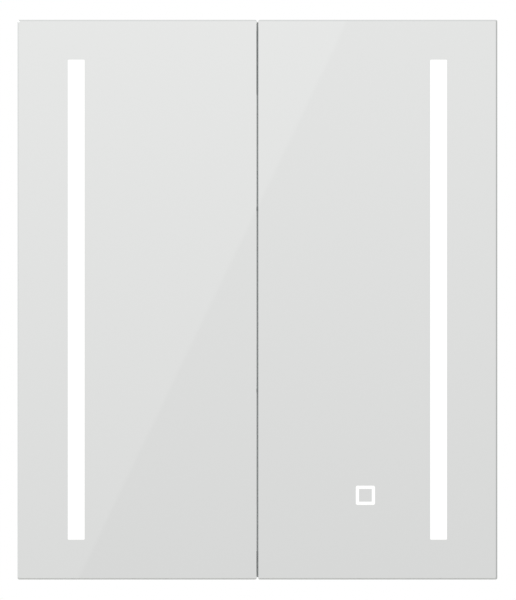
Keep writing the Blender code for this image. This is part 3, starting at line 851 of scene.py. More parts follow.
@dataclass
class Carcass:
    """Side, top, bottom and back panels, and the mirror on the back."""

    edge: float = 0.0008
    pin_hole_radius: float = 0.0027
    pin_hole_depth: float = 0.009
    pin_pitch: float = 0.032
    pin_steps: tuple[int, ...] = (-1, 0, 1)
    keyhole_inset: float = 0.100
    keyhole_drop: float = 0.050
    keyhole_radius: float = 0.005
    keyhole_slot: float = 0.0025
    keyhole_travel: float = 0.010
    cable_bore_share: float = 0.782  # of the gland's radius
    cam_radius: float = 0.0075
    cam_inset: float = 0.034
    cam_front_share: float = 0.6  # of the inset, at the front
    cam_sides: int = 32
    cam_height: float = 0.0007
    cam_bevel: float = 0.0004
    cam_crown: float = 0.00005
    part: Part = field(default=Part("cabinet", "carcass"))

    def build(self) -> None:
        """Make every panel."""
        for side in Side:
            self.side_panel(side)
        for level in Level:
            self.end_panel(level)
        self.back_panel()
        self.back_mirror()
        self.cams()

    def side_panel(self, side: Side) -> None:
        """Make a side with its blind rows of shelf-pin holes.

        Args:
            side: which side.
        """
        name = f"{side.word}_side_panel"
        low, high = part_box(name)
        inner = high.x if side is Side.LEFT else low.x
        tools = []
        for level in Level:
            for column in COLUMNS:
                pin_low, pin_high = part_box(f"{side.word}_{level.word}_{column}_shelf_pin")
                middle = (pin_low + pin_high) / 2
                for step in self.pin_steps:
                    ring = circle((middle.y, middle.z + step * self.pin_pitch), self.pin_hole_radius, 20)
                    bottom = inner + side.value * self.pin_hole_depth
                    tools.append(prism(ring, bottom, inner - side.value * PAST, seen_from_side))
        mesh = carved(rounded_block(low, high, self.edge), tools)
        self.part.add(f"{name}_board", mesh, [WHITE_LACQUER], [name])

    def end_panel(self, level: Level) -> None:
        """Make the top or the bottom panel.

        Args:
            level: which of the two.
        """
        name = END_PANELS[level]
        low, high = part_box(name)
        self.part.add(f"{name}_board", rounded_block(low, high, self.edge), [WHITE_LACQUER], [name])

    def keyhole(self, across: float, height: float) -> list[Point]:
        """A head hole with a slot up from it.

        Args:
            across: the head hole's middle.
            height: the head hole's height.

        Returns:
            The outline's points.
        """
        spread = math.degrees(math.asin(self.keyhole_slot / self.keyhole_radius))
        head = arc((across, height), self.keyhole_radius, 90 + spread, 450 - spread, 36)
        return head + arc((across, height + self.keyhole_travel), self.keyhole_slot, 0, 180, 16)

    def back_panel(self) -> None:
        """Make the hardboard, white inside and raw outside, with keyholes and the cable's hole."""
        low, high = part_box("back_panel")
        gland_low, gland_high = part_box("cable_gland")
        middle = (gland_low + gland_high) / 2
        bore = (gland_high.x - gland_low.x) / 2 * self.cable_bore_share
        across = CAD_BOX[1].x - self.keyhole_inset
        height = CAD_BOX[1].z - self.keyhole_drop
        ends = (low.y - PAST, high.y + PAST, seen_from_front)
        tools = [prism(self.keyhole(side.value * across, height), *ends) for side in Side]
        tools.append(prism(circle((middle.x, middle.z), bore), *ends))
        mesh = carved(rounded_block(low, high, self.edge / 2), tools)
        paint(mesh, lambda normal, middle: 0 if normal.y < -0.5 else 1)
        finishes = [WHITE_FACING, RAW_HARDBOARD]
        Part("cabinet", "back_board").add("back_panel_board", mesh, finishes, ["back_panel"])

    def back_mirror(self) -> None:
        """Make the mirror glued to the back panel."""
        low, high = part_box("back_mirror")
        mesh = rounded_block(low, high, self.edge)
        paint(mesh, lambda normal, middle: 0 if normal.y < -0.99 else 1)
        part = Part("cabinet", "mirror_glass")
        part.add("back_mirror_glass", mesh, [MIRROR, PANE_EDGE], ["back_mirror"], FLAT_ANGLE)

    def cams(self) -> None:
        """Make the cover discs over the cams that pull the end panels to the sides."""
        r = self.cam_radius
        height, bevel = self.cam_height, self.cam_bevel
        crown = (height + self.cam_crown, r * 0.4)
        profile = [(-bevel, r), (height / 2, r), (height, r - bevel), crown]
        discs = []
        for level in Level:
            low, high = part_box(END_PANELS[level])
            face = low.z if level is Level.UPPER else high.z
            axis = Vector((0, 0, -level.value))
            for side in Side:
                across = side.value * (high.x - self.cam_inset)
                for y in (low.y + self.cam_inset * self.cam_front_share, high.y - self.cam_inset):
                    discs.append(turned(profile, Vector((across, y, face)), axis, self.cam_sides))
        self.part.add("cam_cover_discs", joined(discs), [WHITE_ABS])


@dataclass
class Shelving:
    """Two glass shelves with polished edges, on turned pins."""

    corner: float = 0.004
    arris: float = 0.0006
    collar_edge: float = 0.0003
    collar_end: float = 0.0018
    pin_share: float = 0.6  # of the collar's radius

    def build(self) -> None:
        """Make both shelves and their eight pins."""
        for level in Level:
            self.shelf(level)
            for side in Side:
                for column in COLUMNS:
                    self.pin(side, level, column)

    def shelf(self, level: Level) -> None:
        """Make one shelf.

        Args:
            level: which of the two.
        """
        name = f"{level.word}_shelf"
        low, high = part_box(name)
        outline = rounded(*flat(low, high, 0, 1), self.corner)
        mesh = prism(outline, low.z, high.z, seen_from_above, self.arris)
        paint(mesh, lambda normal, middle: 0 if abs(normal.z) > 0.99 else 1)
        part = Part("cabinet", "shelf_glass")
        part.add(f"{name}_glass", mesh, [CLEAR_GLASS, SHELF_EDGE], [name])

    def pin(self, side: Side, level: Level, column: str) -> None:
        """Make one pin: a shank, a collar with a rolled edge, and a round nose.

        Args:
            side: the side panel that it stands in.
            level: the shelf that it carries.
            column: the back or the front row.
        """
        name = f"{side.word}_{level.word}_{column}_shelf_pin"
        low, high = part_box(name)
        middle = (low + high) / 2
        root = low.x if side is Side.LEFT else high.x
        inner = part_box(f"{side.word}_side_panel")[1 if side is Side.LEFT else 0].x
        shank = abs(inner - root)
        length = high.x - low.x
        collar = (high.z - low.z) / 2
        radius = collar * self.pin_share
        start, end, roll = shank + FIT, shank + self.collar_end, self.collar_edge
        profile = [
            (0.0, radius - roll),
            (roll, radius),
            (start, radius),
            (start, collar - roll),
            (start + roll, collar),
            (end - roll, collar),
            (end, collar - roll),
            (end, radius),
            (length - 2 * roll, radius),
            (length - 0.6 * roll, radius - 0.6 * roll),
            (length, radius - 2 * roll),
        ]
        mesh = turned(profile, Vector((root, middle.y, middle.z)), Vector((-side.value, 0, 0)))
        Part("cabinet", "pin_steel").add(f"{name}_turned", mesh, [PIN_STEEL], [name])


# ---------------------------------------------------------------- the hinges


PLATE_SCREW = ScrewHead()
ARM_SCREW = ScrewHead(radius=0.0025, height=0.0011, recess=0.0017)
CUP_SCREW = ScrewHead(radius=0.0034, height=0.0009)


@dataclass
class Hinge:
    """A concealed hinge: plate and arm on the cabinet, cup in the door, and a link between.

    Distances forward are negative inside the cabinet.
    """

    side: Side
    level: Level
    pin_radius: float = 0.00125
    pin_chamfer: float = 0.0003
    pin_sides: int = 24
    bore_play: float = 0.00015
    strip: float = 0.0012
    stamped_edge: float = 0.0004
    plate_corner: float = 0.0055
    plate_top: float = 0.0148
    plate_rear: float = -0.043
    plate_front: float = -0.031
    plate_screw_reach: float = 0.016
    rail_half_width: float = 0.0042
    rail_top: float = 0.0218
    rail_front: float = -0.012
    rail_corner: float = 0.002
    nose_radius: float = 0.002
    neck_rear: float = -0.008
    neck_front: float = -0.004
    arm_fold: float = 0.0007
    web: float = 0.0017
    hollow_front: float = 0.030
    slot_rear: float = -0.044
    slot_front: float = -0.034
    slot_half_width: float = 0.0019
    slot_corner: float = 0.0018
    hole_forward: float = -0.022
    hole_radius: float = 0.0026
    hole_screw_depth: float = 0.0015
    eye: float = 0.0025
    link_half_width: float = 0.0035
    link_half_thickness: float = 0.00125
    link_edge: float = 0.0003
    flange_half_width: float = 0.009
    flange_half_length: float = 0.031
    flange_radius: float = 0.006
    flange_top: float = 0.0005
    flange_depth: float = 0.0008
    flange_edge: float = 0.0002
    flange_screw_reach: float = 0.024
    cup_wall: float = 0.001
    cup_bend: float = 0.002
    lip_roll: float = 0.0002
    cup_sides: int = 48
    cup_middle: float = 0.0001  # the hole left where the cup's rings would meet in a point

    def __post_init__(self) -> None:
        """Read the hinge's places from the frame."""
        self.name = f"{self.side.word}_{self.level.word}"
        self.cabinet = Part("cabinet", "hinge_steel")
        self.link_part = Part(f"{self.side.word}_links", "hinge_steel")
        self.door = Part(f"{self.side.word}_door", "hinge_steel")
        low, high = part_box(f"{self.side.word}_side_panel")
        self.outer = low.x if self.side is Side.LEFT else high.x
        self.front = low.y
        self.thickness = high.x - low.x
        cup_low, cup_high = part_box(f"{self.name}_hinge_cup")
        self.middle = (cup_low.z + cup_high.z) / 2
        self.cup_radius = (cup_high.x - cup_low.x) / 2
        self.cup_centre = abs(self.outer - (cup_low.x + cup_high.x) / 2)
        self.cup_floor = self.front - cup_low.y
        joints = {joint["name"]: joint["pos_m"] for joint in frame["joints"]}
        self.arm_pivot = self.plan(joints[f"{self.side.word}_link_pivot"])
        self.cup_pivot = self.plan(joints[f"{self.side.word}_door_hinge"])
        self.standoff = self.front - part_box(f"{self.side.word}_door_frame")[1].y
        self.inward = Vector((-self.side.value, 0, 0))

    def plan(self, place: Sequence[float]) -> Point:
        """A place's inward and forward distances."""
        return abs(self.outer - place[0]), self.front - place[1]

    def at(self, inward: float, forward: float, height: float) -> Vector:
        """Place for an outline drawn in plan, with height from the hinge's middle."""
        across = self.outer - self.side.value * inward
        return Vector((across, self.front - forward, self.middle + height))

    def on_door(self, inward: float, height: float, forward: float) -> Vector:
        """Place for an outline drawn on the door's back."""
        return self.at(inward, forward, height)

    def on_side(self, forward: float, height: float, inward: float) -> Vector:
        """Place for an outline drawn on the side panel's face."""
        return self.at(inward, forward, height)

    def add(self, part: Part, word: str, mesh: Mesh, finish: Finish, solid: str = "") -> None:
        """Make one of the hinge's pieces, which replaces a solid where one is named."""
        part.add(f"{self.name}_{word}", mesh, [finish], [f"{self.name}_{solid}"] if solid else [])

    def build(self) -> None:
        """Make the whole hinge."""
        self.plate()
        self.arm()
        self.link()
        self.cup()

    def pin_bore(self, pivot: Point, half: float) -> Mesh:
        """The tool that bores an eye for a pin."""
        ring = circle(pivot, self.pin_radius + self.bore_play, self.pin_sides)
        return prism(ring, -half - PAST, half + PAST, self.at)

    def rivet(self, pivot: Point, half: float) -> Mesh:
        """A pin along the joint's axis with chamfered ends.

        Args:
            pivot: the axis's inward and forward distances.
            half: half of the pin's length.

        Returns:
            The pin.
        """
        radius, edge = self.pin_radius, self.pin_chamfer
        ends = [(-half, radius - edge), (-half + edge, radius)]
        profile = ends + [(-along, width) for along, width in reversed(ends)]
        return turned(profile, self.at(*pivot, 0.0), UP, self.pin_sides)

    def plate(self) -> None:
        """A stamped cross plate with a rail, and its two screws."""
        low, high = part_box(f"{self.name}_hinge_plate")
        half = (high.z - low.z) / 2
        bar = rounded((self.plate_rear, -half), (self.plate_front, half), self.plate_corner)
        wings = prism(bar, self.thickness, self.plate_top, self.on_side, self.stamped_edge)
        rail_rear, wide = self.front - high.y, self.rail_half_width
        rail_outline = rounded((rail_rear, -wide), (self.rail_front, wide), self.rail_corner)
        rail = prism(rail_outline, self.thickness, self.rail_top, self.on_side, self.stamped_edge)
        self.add(self.cabinet, "hinge_plate_stamping", joined([wings, rail]), NICKEL, "hinge_plate")
        forward = (self.plate_rear + self.plate_front) / 2
        seat = self.plate_top - BEDDED
        heights = (-self.plate_screw_reach, self.plate_screw_reach)
        places = [(self.at(seat, forward, height), self.inward) for height in heights]
        self.add(self.cabinet, "hinge_plate_screws", screws(places, PLATE_SCREW), ZINC)

    def arm(self) -> None:
        """A channel folded from strip, with an adjusting slot, two screws and the arm pin."""
        low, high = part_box(f"{self.name}_hinge_arm")
        near, far = sorted((self.plan(low)[0], self.plan(high)[0]))
        tail = self.front - high.y
        half = (high.z - low.z) / 2
        bend = self.nose_radius
        nose = arc(self.arm_pivot, bend, 180, 90)
        shoulder = arc((far - bend, self.arm_pivot[1]), bend, 90, 0)
        neck = [(near, self.neck_rear), (self.arm_pivot[0] - bend, self.neck_front)]
        outline = [(far, tail), (near, tail), *neck, *nose, *shoulder]
        channel = prism(outline, -half, half, self.at, self.arm_fold)
        web = far - self.web
        rear, front = tail - PAST, self.hollow_front
        hollow = [(0.0, rear), (web, rear), (web, front), (0.0, front)]
        wide = self.slot_half_width
        slot = rounded((self.slot_rear, -wide), (self.slot_front, wide), self.slot_corner)
        hole = circle((self.hole_forward, 0.0), self.hole_radius, self.pin_sides)
        tools = [
            prism(hollow, -half + self.strip, half - self.strip, self.at),
            self.pin_bore(self.arm_pivot, half),
            prism(slot, web - PAST, far + PAST, self.on_side),
            prism(hole, web - PAST, far + PAST, self.on_side),
        ]
        self.add(self.cabinet, "hinge_arm_channel", carved(channel, tools), NICKEL, "hinge_arm")
        slot_middle = (self.slot_rear + self.slot_front) / 2
        seats = ((far - SUNK, slot_middle), (far - self.hole_screw_depth, self.hole_forward))
        places = [(self.at(inward, forward, 0.0), self.inward) for inward, forward in seats]
        self.add(self.cabinet, "hinge_adjusting_screws", screws(places, ARM_SCREW), ZINC)
        self.add(self.cabinet, "arm_pin_rivet", self.rivet(self.arm_pivot, half), ZINC, "arm_pin")

    def link(self) -> None:
        """Two eyes with a thinner bar between them."""
        (a, b), (c, d) = self.arm_pivot, self.cup_pivot
        heading = math.degrees(math.atan2(d - b, c - a))
        neck = math.degrees(math.asin(self.link_half_thickness / self.eye))
        first, last = heading + neck, heading + 360 - neck
        outline = arc(self.arm_pivot, self.eye, first, last, self.pin_sides)
        outline += arc(self.cup_pivot, self.eye, first + 180, last + 180, self.pin_sides)
        half = self.link_half_width
        body = prism(outline, -half, half, self.at, self.link_edge)
        tools = [self.pin_bore(pivot, half) for pivot in (self.arm_pivot, self.cup_pivot)]
        self.add(self.link_part, "hinge_link_lever", carved(body, tools), NICKEL, "hinge_link")

    def drawn_bend(self, floor: float, radius: float) -> list[Point]:
        """The bend from the cup's wall to its floor, outside or inside.

        Args:
            floor: how far forward the floor is.
            radius: the wall's radius.

        Returns:
            Pairs of forward distance and radius.
        """
        bend = self.cup_bend
        turns = (0.5, 1.0, 1.4)  # in radians from the wall
        return [(floor - bend + bend * math.sin(t), radius - bend + bend * math.cos(t)) for t in turns]

    def bowl(self) -> Mesh:
        """The drawn cup with its rolled rim.

        Returns:
            A closed shell.
        """
        radius, floor, wall, rim = self.cup_radius, self.cup_floor, self.cup_wall, self.standoff
        inner = radius - wall
        wall_end = floor - self.cup_bend
        outside = [(rim + SUNK, radius), (wall_end, radius), *self.drawn_bend(floor, radius)]
        inside = [*reversed(self.drawn_bend(floor - wall, inner)), (rim + wall, inner)]
        lip = (rim + SUNK, inner + self.lip_roll)
        middle = [(floor, self.cup_middle), (floor - wall, self.cup_middle)]
        section = [*outside, *middle, *inside, lip]
        rings = []
        for forward, ring_radius in section:
            ring = circle((self.cup_centre, 0.0), ring_radius, self.cup_sides)
            rings.append([self.on_door(a, b, forward) for a, b in ring])
        return loft(rings, closed=True)

    def ears(self) -> Mesh:
        """The flange that the cup's screws go through.

        Returns:
            The flange, open over the cup.
        """
        rim, wide, long = self.standoff, self.flange_half_width, self.flange_half_length
        low, high = (self.cup_centre - wide, -long), (self.cup_centre + wide, long)
        outline = rounded(low, high, self.flange_radius)
        top, bottom = rim - self.flange_top, rim + self.flange_depth
        ears = prism(outline, top, bottom, self.on_door, self.flange_edge)
        mouth_radius = self.cup_radius - self.cup_wall + FIT
        mouth = circle((self.cup_centre, 0.0), mouth_radius, self.cup_sides)
        return carved(ears, [prism(mouth, rim - 2 * PAST, rim + 2 * PAST, self.on_door)])

    def cup(self) -> None:
        """A drawn cup, its flange, two screws and the cup pin."""
        play = self.pin_radius + self.bore_play
        ends = [(-self.cup_radius, play), (self.cup_radius, play)]
        drill = turned(ends, self.at(*self.cup_pivot, 0.0), UP, self.pin_sides)
        mesh = joined([carved(self.bowl(), [drill]), self.ears()])
        self.add(self.door, "hinge_cup_drawn", mesh, NICKEL, "hinge_cup")
        seat = self.standoff - self.flange_top + FIT
        heights = (-self.flange_screw_reach, self.flange_screw_reach)
        places = [(self.at(self.cup_centre, seat, height), FORTH) for height in heights]
        self.add(self.door, "hinge_cup_screws", screws(places, CUP_SCREW), ZINC)
        pin_low, pin_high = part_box(f"{self.name}_cup_pin")
        pin = self.rivet(self.cup_pivot, (pin_high.z - pin_low.z) / 2)
        self.add(self.door, "cup_pin_rivet", pin, ZINC, "cup_pin")


# ---------------------------------------------------------------- the doors


@dataclass
class Door:
    """A door: the lit pane in front, its frame, and the mirror inside."""

    side: Side
    corner: float = 0.002
    corner_steps: int = 10
    face_corner_share: float = 0.6
    arris: float = 0.0019
    arris_depth: float = 0.0013
    meeting_arris: float = 0.00012
    window_corner: float = 0.0012
    board_edge: float = 0.0008
    inner_edge: float = 0.0006
    rebate: float = 0.0033
    cup_play: float = 0.0002
    rail: float = 0.024
    lip: float = 0.008
    # the grey felt strip on the right door's meeting edge: a dust seal, and painted shade in the gap
    # between the doors
    seal_thickness: float = 0.0016
    seal_setback: float = 0.0006
    seal_end: float = 0.003
    seal_edge: float = 0.0004

    def __post_init__(self) -> None:
        """Name the door's body and slots."""
        self.body = f"{self.side.word}_door"
        self.mirror_part = Part(self.body, "mirror_glass")

    def build(self) -> None:
        """Make the pane, its window, the frame, the inner mirror and one door's felt seal, which is
        painted shade in the gap between the doors.
        """
        self.pane()
        self.window()
        self.door_frame()
        self.inner_mirror()
        if self.side is Side.RIGHT:
            self.seal()

    def window_outline(self) -> list[Point]:
        """The lit window's outline."""
        low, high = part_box(f"{self.side.word}_light_window")
        return rounded(*flat(low, high, 0, 2), self.window_corner)

    def pane(self) -> None:
        """Make the front mirror: polished arris outside, a finer one where the doors meet."""
        low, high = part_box(f"{self.side.word}_mirror")
        at_left = self.arris if self.side is Side.LEFT else self.meeting_arris
        at_right = self.arris if self.side is Side.RIGHT else self.meeting_arris
        (x0, z0), (x1, z1) = flat(low, high, 0, 2)
        full = rounded((x0, z0), (x1, z1), self.corner, self.corner_steps)
        face_low, face_high = (x0 + at_left, z0 + self.arris), (x1 - at_right, z1 - self.arris)
        face = rounded(face_low, face_high, self.corner * self.face_corner_share, self.corner_steps)
        sections = ((full, high.y), (full, low.y + self.arris_depth), (face, low.y))
        mesh = loft([[seen_from_front(a, b, y) for a, b in outline] for outline, y in sections])
        tools = [prism(self.window_outline(), low.y - PAST, high.y + PAST, seen_from_front)]
        if self.side is Side.RIGHT:
            tools.append(TouchSwitch().groove(low.y - PAST))
        mesh = paint(carved(mesh, tools), self.pane_finish)
        finishes = [MIRROR, ARRIS, PANE_EDGE, PANE_BACK]
        name = f"{self.side.word}_front_pane"
        self.mirror_part.add(name, mesh, finishes, [f"{self.side.word}_mirror"], FLAT_ANGLE)

    def pane_finish(self, normal: Vector, _: Vector) -> int:
        """Choose silver for the face, then arris, edge and back paint.

        Args:
            normal: the way a face looks.

        Returns:
            The finish's index.
        """
        if normal.y < -0.999:
            return 0
        if normal.y < -0.3:
            return 1
        return 3 if normal.y > 0.9 else 2

    def window(self) -> None:
        """Make the frosted window that the light comes through."""
        name = f"{self.side.word}_light_window"
        low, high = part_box(name)
        mesh = prism(self.window_outline(), low.y, high.y, seen_from_front)
        part = Part(self.body, "light_window")
        part.add(f"{self.side.word}_frosted_strip", mesh, [LIT_FROST], [name])

    def frame_tools(self) -> list[Mesh]:
        """What is cut out of the frame: its opening, the mirror's rebate and the cups' bores.

        Returns:
            The tools.
        """
        low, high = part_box(f"{self.side.word}_door_frame")
        mirror_low, mirror_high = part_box(f"{self.side.word}_inner_mirror")
        bottom, top = low.z + self.rail, high.z - self.rail
        hinge_lip = self.rail - (high.z - mirror_high.z)
        lips = (self.lip, hinge_lip) if self.side is Side.LEFT else (hinge_lip, self.lip)
        left, right = mirror_low.x + lips[0], mirror_high.x - lips[1]
        opening = [(left, bottom), (right, bottom), (right, top), (left, top)]
        play = Vector((FIT, 0, FIT))
        (a, b), (c, d) = flat(mirror_low - play, mirror_high + play, 0, 2)
        rebate = [(a, b), (c, b), (c, d), (a, d)]
        tools = [
            prism(opening, low.y - PAST, high.y + PAST, seen_from_front),
            prism(rebate, high.y - self.rebate, high.y + PAST, seen_from_front),
        ]
        for level in Level:
            hinge = Hinge(self.side, level)
            bore = circle((hinge.cup_centre, 0.0), hinge.cup_radius + self.cup_play, hinge.cup_sides)
            bottom = hinge.cup_floor + FIT
            tools.append(prism(bore, hinge.standoff - PAST, bottom, hinge.on_door))
        return tools

    def door_frame(self) -> None:
        """Make the board ring that the pane is glued to."""
        name = f"{self.side.word}_door_frame"
        low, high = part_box(name)
        outline = rounded(*flat(low, high, 0, 2), self.corner)
        board = prism(outline, low.y, high.y, seen_from_front, self.board_edge)
        mesh = carved(board, self.frame_tools())
        Part(self.body, "door_lacquer").add(f"{name}_board", mesh, [WHITE_LACQUER], [name])

    def inner_mirror(self) -> None:
        """Make the mirror on the inside of the door."""
        name = f"{self.side.word}_inner_mirror"
        mesh = rounded_block(*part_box(name), self.inner_edge)
        paint(mesh, lambda normal, middle: 0 if normal.y > 0.999 else 1)
        self.mirror_part.add(f"{name}_glass", mesh, [MIRROR, ARRIS], [name], FLAT_ANGLE)

    def seal(self) -> None:
        """Make the grey felt on the meeting edge, which closes the gap between the doors to dust and
        is painted shade that darkens that gap.
        """
        pane_low, pane_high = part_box("right_mirror")
        x, front, bottom = pane_low.x, pane_low.y + self.seal_setback, pane_low.z + self.seal_end
        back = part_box("right_door_frame")[1].y - self.seal_end
        low = Vector((x - self.seal_thickness, front, bottom))
        high = Vector((x - SUNK, back, pane_high.z - self.seal_end))
        mesh = rounded_block(low, high, self.seal_edge)
        Part(self.body, "bumper_rubber").add("right_door_seal", mesh, [GAP_SHADE_FELT])


@dataclass
class TouchSwitch:
    """The lit square ring in the right pane, and the sensor behind it."""

    line: float = 0.004
    outer_corner: float = 0.0022
    inner_corner: float = 0.0006
    housing_corner: float = 0.003
    housing_edge: float = 0.0008

    def outlines(self) -> tuple[list[Point], list[Point]]:
        """The ring's outlines.

        Returns:
            The outer one and the inner one.
        """
        (x0, z0), (x1, z1) = flat(*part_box("touch_ring"), 0, 2)
        line = self.line
        outer = rounded((x0, z0), (x1, z1), self.outer_corner)
        return outer, rounded((x0 + line, z0 + line), (x1 - line, z1 - line), self.inner_corner)

    def ring(self, front: float, back: float) -> Mesh:
        """The ring between two depths."""
        return tube(*self.outlines(), front, back, seen_from_front)

    def groove(self, front: float) -> Mesh:
        """The tool that cuts the ring's groove into the pane."""
        return self.ring(front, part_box("touch_ring")[1].y)

    def build(self) -> None:
        """Make the ring and the sensor's housing."""
        low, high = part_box("touch_ring")
        ring = self.ring(low.y, high.y)
        Part("right_door", "touch_light").add("touch_ring_frosted", ring, [LIT_FROST], ["touch_ring"])
        back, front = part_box("touch_module")
        outline = rounded(*flat(back, front, 0, 2), self.housing_corner)
        housing = prism(outline, back.y, front.y, seen_from_front, self.housing_edge)
        part = Part("right_door", "sensor_plastic")
        part.add("touch_sensor_housing", housing, [WHITE_ABS], ["touch_module"])


# ---------------------------------------------------------------- small parts


DRIVER_SCREW = ScrewHead(radius=0.003)


@dataclass
class LightDriver:
    """The light's driver under the top panel, with a lid seam, terminals and three screws."""

    ear: float = 0.012
    ear_thickness: float = 0.003
    ear_corner: float = 0.004
    ear_edge: float = 0.0004
    corner: float = 0.003
    edge: float = 0.0015
    seam: float = 0.0009
    seam_corner: float = 0.0025
    seam_share: float = 0.45  # of the housing's height
    vents: int = 7
    vent_start: float = 0.030
    vent_pitch: float = 0.006
    vent_half_width: float = 0.001
    vent_bottom: float = 0.0035
    vent_top: float = 0.002
    vent_corner: float = 0.0009
    vent_depth: float = 0.0015
    cover_length: float = 0.028
    cover_margin: float = 0.004
    cover_corner: float = 0.002
    cover_edge: float = 0.0003
    cover_drop: float = 0.0008

    def __post_init__(self) -> None:
        """Read the housing's places from the frame."""
        self.part = Part("cabinet", "driver_plastic")
        self.low, self.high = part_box("led_driver")
        self.body_low = self.low + Vector((self.ear, 0, 0))
        self.body_high = self.high - Vector((self.ear, 0, 0))
        self.ear_bottom = self.high.z - self.ear_thickness

    def build(self) -> None:
        """Make the housing, its terminal cover and its screws."""
        self.housing()
        self.cover_and_screws()

    def lid_seam(self, seam_z: float) -> Mesh:
        """The tool that cuts the seam between the lid and the housing.

        Args:
            seam_z: the seam's lower edge.

        Returns:
            The tool.
        """
        inset = Vector((self.seam, self.seam, 0))
        outer = rounded(*flat(self.body_low - inset, self.body_high + inset, 0, 1), self.corner)
        inner = rounded(*flat(self.body_low + inset, self.body_high - inset, 0, 1), self.seam_corner)
        return tube(outer, inner, seam_z + self.seam, seam_z, seen_from_above)

    def housing(self) -> None:
        """A box with a seam and vents, hung on a plate with two ears."""
        low, high = self.low, self.high
        ears = rounded(*flat(low, high, 0, 1), self.ear_corner)
        plate = prism(ears, self.ear_bottom, high.z, seen_from_above, self.ear_edge)
        outline = rounded(*flat(self.body_low, self.body_high, 0, 1), self.corner)
        body = prism(outline, low.z, self.ear_bottom + BEDDED, seen_from_above, self.edge)
        seam_z = low.z + (self.ear_bottom - low.z) * self.seam_share
        tools = [self.lid_seam(seam_z)]
        bottom, top, half = low.z + self.vent_bottom, seam_z - self.vent_top, self.vent_half_width
        for index in range(self.vents):
            x = self.body_low.x + self.vent_start + index * self.vent_pitch
            slot = rounded((x - half, bottom), (x + half, top), self.vent_corner)
            tools.append(prism(slot, low.y - PAST, low.y + self.vent_depth, seen_from_front))
        mesh = joined([carved(body, tools), plate])
        self.part.add("led_driver_housing", mesh, [WHITE_ABS], ["led_driver"])

    def cover_and_screws(self) -> None:
        """The cover over the terminals, with its screw, and a screw in each ear."""
        low, high, margin = self.low, self.high, self.cover_margin
        left, right = self.body_high.x - self.cover_length, self.body_high.x - margin
        outline = rounded((left, low.y + margin), (right, high.y - margin), self.cover_corner)
        cover = prism(outline, low.z - self.cover_drop, low.z + MM, seen_from_above, self.cover_edge)
        self.part.add("led_driver_terminal_cover", cover, [GREY_ABS])
        y = (low.y + high.y) / 2
        ear_seat, cover_seat = self.ear_bottom + SUNK, low.z - self.cover_drop + SUNK
        seats = [(x, ear_seat) for x in (low.x + self.ear / 2, high.x - self.ear / 2)]
        seats.append(((left + right) / 2, cover_seat))
        places = [(Vector((x, y, z)), -UP) for x, z in seats]
        self.part.add("led_driver_screws", screws(places, DRIVER_SCREW), [ZINC])


@dataclass
class CableGland:
    """The gland in the back panel: a hexagon, a ribbed dome nut and a rubber seal."""

    ribs: int = 24
    thread_radius: float = 0.0078
    hexagon_thickness: float = 0.0045
    hexagon_edge: float = 0.0005
    dome_overlap: float = 0.0001
    bore_radius: float = 0.0042
    seal_hole: float = 0.0033
    seal_setback: float = 0.0004
    seal_depth: float = 0.009
    bore_sides: int = 32

    def __post_init__(self) -> None:
        """Read the gland's places from the frame."""
        self.low, self.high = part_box("cable_gland")
        self.middle = (self.low + self.high) / 2
        self.base = Vector((self.middle.x, self.high.y, self.middle.z))
        self.length = self.high.y - self.low.y
        self.panel = self.high.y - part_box("back_panel")[0].y + FIT
        self.centre = (self.middle.x, self.middle.z)

    def build(self) -> None:
        """Make the nut and the seal."""
        part = Part("cabinet", "gland_nylon")
        shells = (self.thread(), self.hexagon(), self.dome())
        nut = joined([carved(shell, [self.bore()]) for shell in shells])
        part.add("cable_gland_nut", nut, [BLACK_NYLON], ["cable_gland"])
        outer = circle(self.centre, self.bore_radius, self.bore_sides)
        inner = circle(self.centre, self.seal_hole, self.bore_sides)
        front, back = self.low.y + self.seal_setback, self.low.y + self.seal_depth
        part.add("cable_gland_seal", tube(outer, inner, front, back, seen_from_front), [BLACK_RUBBER])

    def bore(self) -> Mesh:
        """The tool that cuts the cable's way through."""
        ends = [(-PAST, self.bore_radius), (self.length + PAST, self.bore_radius)]
        return turned(ends, self.base, -FORTH, self.bore_sides)

    def thread(self) -> Mesh:
        """The round part that stands in the back panel."""
        ends = [(0.0, self.thread_radius), (self.panel, self.thread_radius)]
        return turned(ends, self.base, -FORTH)

    def hexagon(self) -> Mesh:
        """The hexagon that a spanner holds.

        Returns:
            A closed shell.
        """
        radius = (self.high.x - self.low.x) / 2
        flats = [(self.middle.x + a, self.middle.z + b) for a, b in circle((0.0, 0.0), radius, 6)]
        back = self.high.y - self.panel
        return prism(flats, back - self.hexagon_thickness, back, seen_from_front, self.hexagon_edge)

    def dome(self) -> Mesh:
        """The dome nut, with ribs for the fingers that fade out at both ends.

        Returns:
            A closed shell.
        """
        foot = self.panel + self.hexagon_thickness - self.dome_overlap
        # distance along the axis, radius, and the ribs' depth as a share of it
        steps = (
            (foot, 0.0085, 0.0),
            (foot + FIT, 0.0088, 0.03),
            (self.length - 2 * MM, 0.0080, 0.03),
            (self.length - 0.8 * MM, 0.0070, 0.01),
            (self.length, 0.0056, 0.0),
        )
        rings = []
        for along, radius, depth in steps:
            ring = []
            for index, (a, b) in enumerate(circle((0.0, 0.0), radius, 4 * self.ribs)):
                swell = 1 - depth * (1 + math.cos(2 * math.pi * index / 4))
                ring.append(self.base - FORTH * along + Vector((a * swell, 0, b * swell)))
            rings.append(ring)
        return loft(rings)


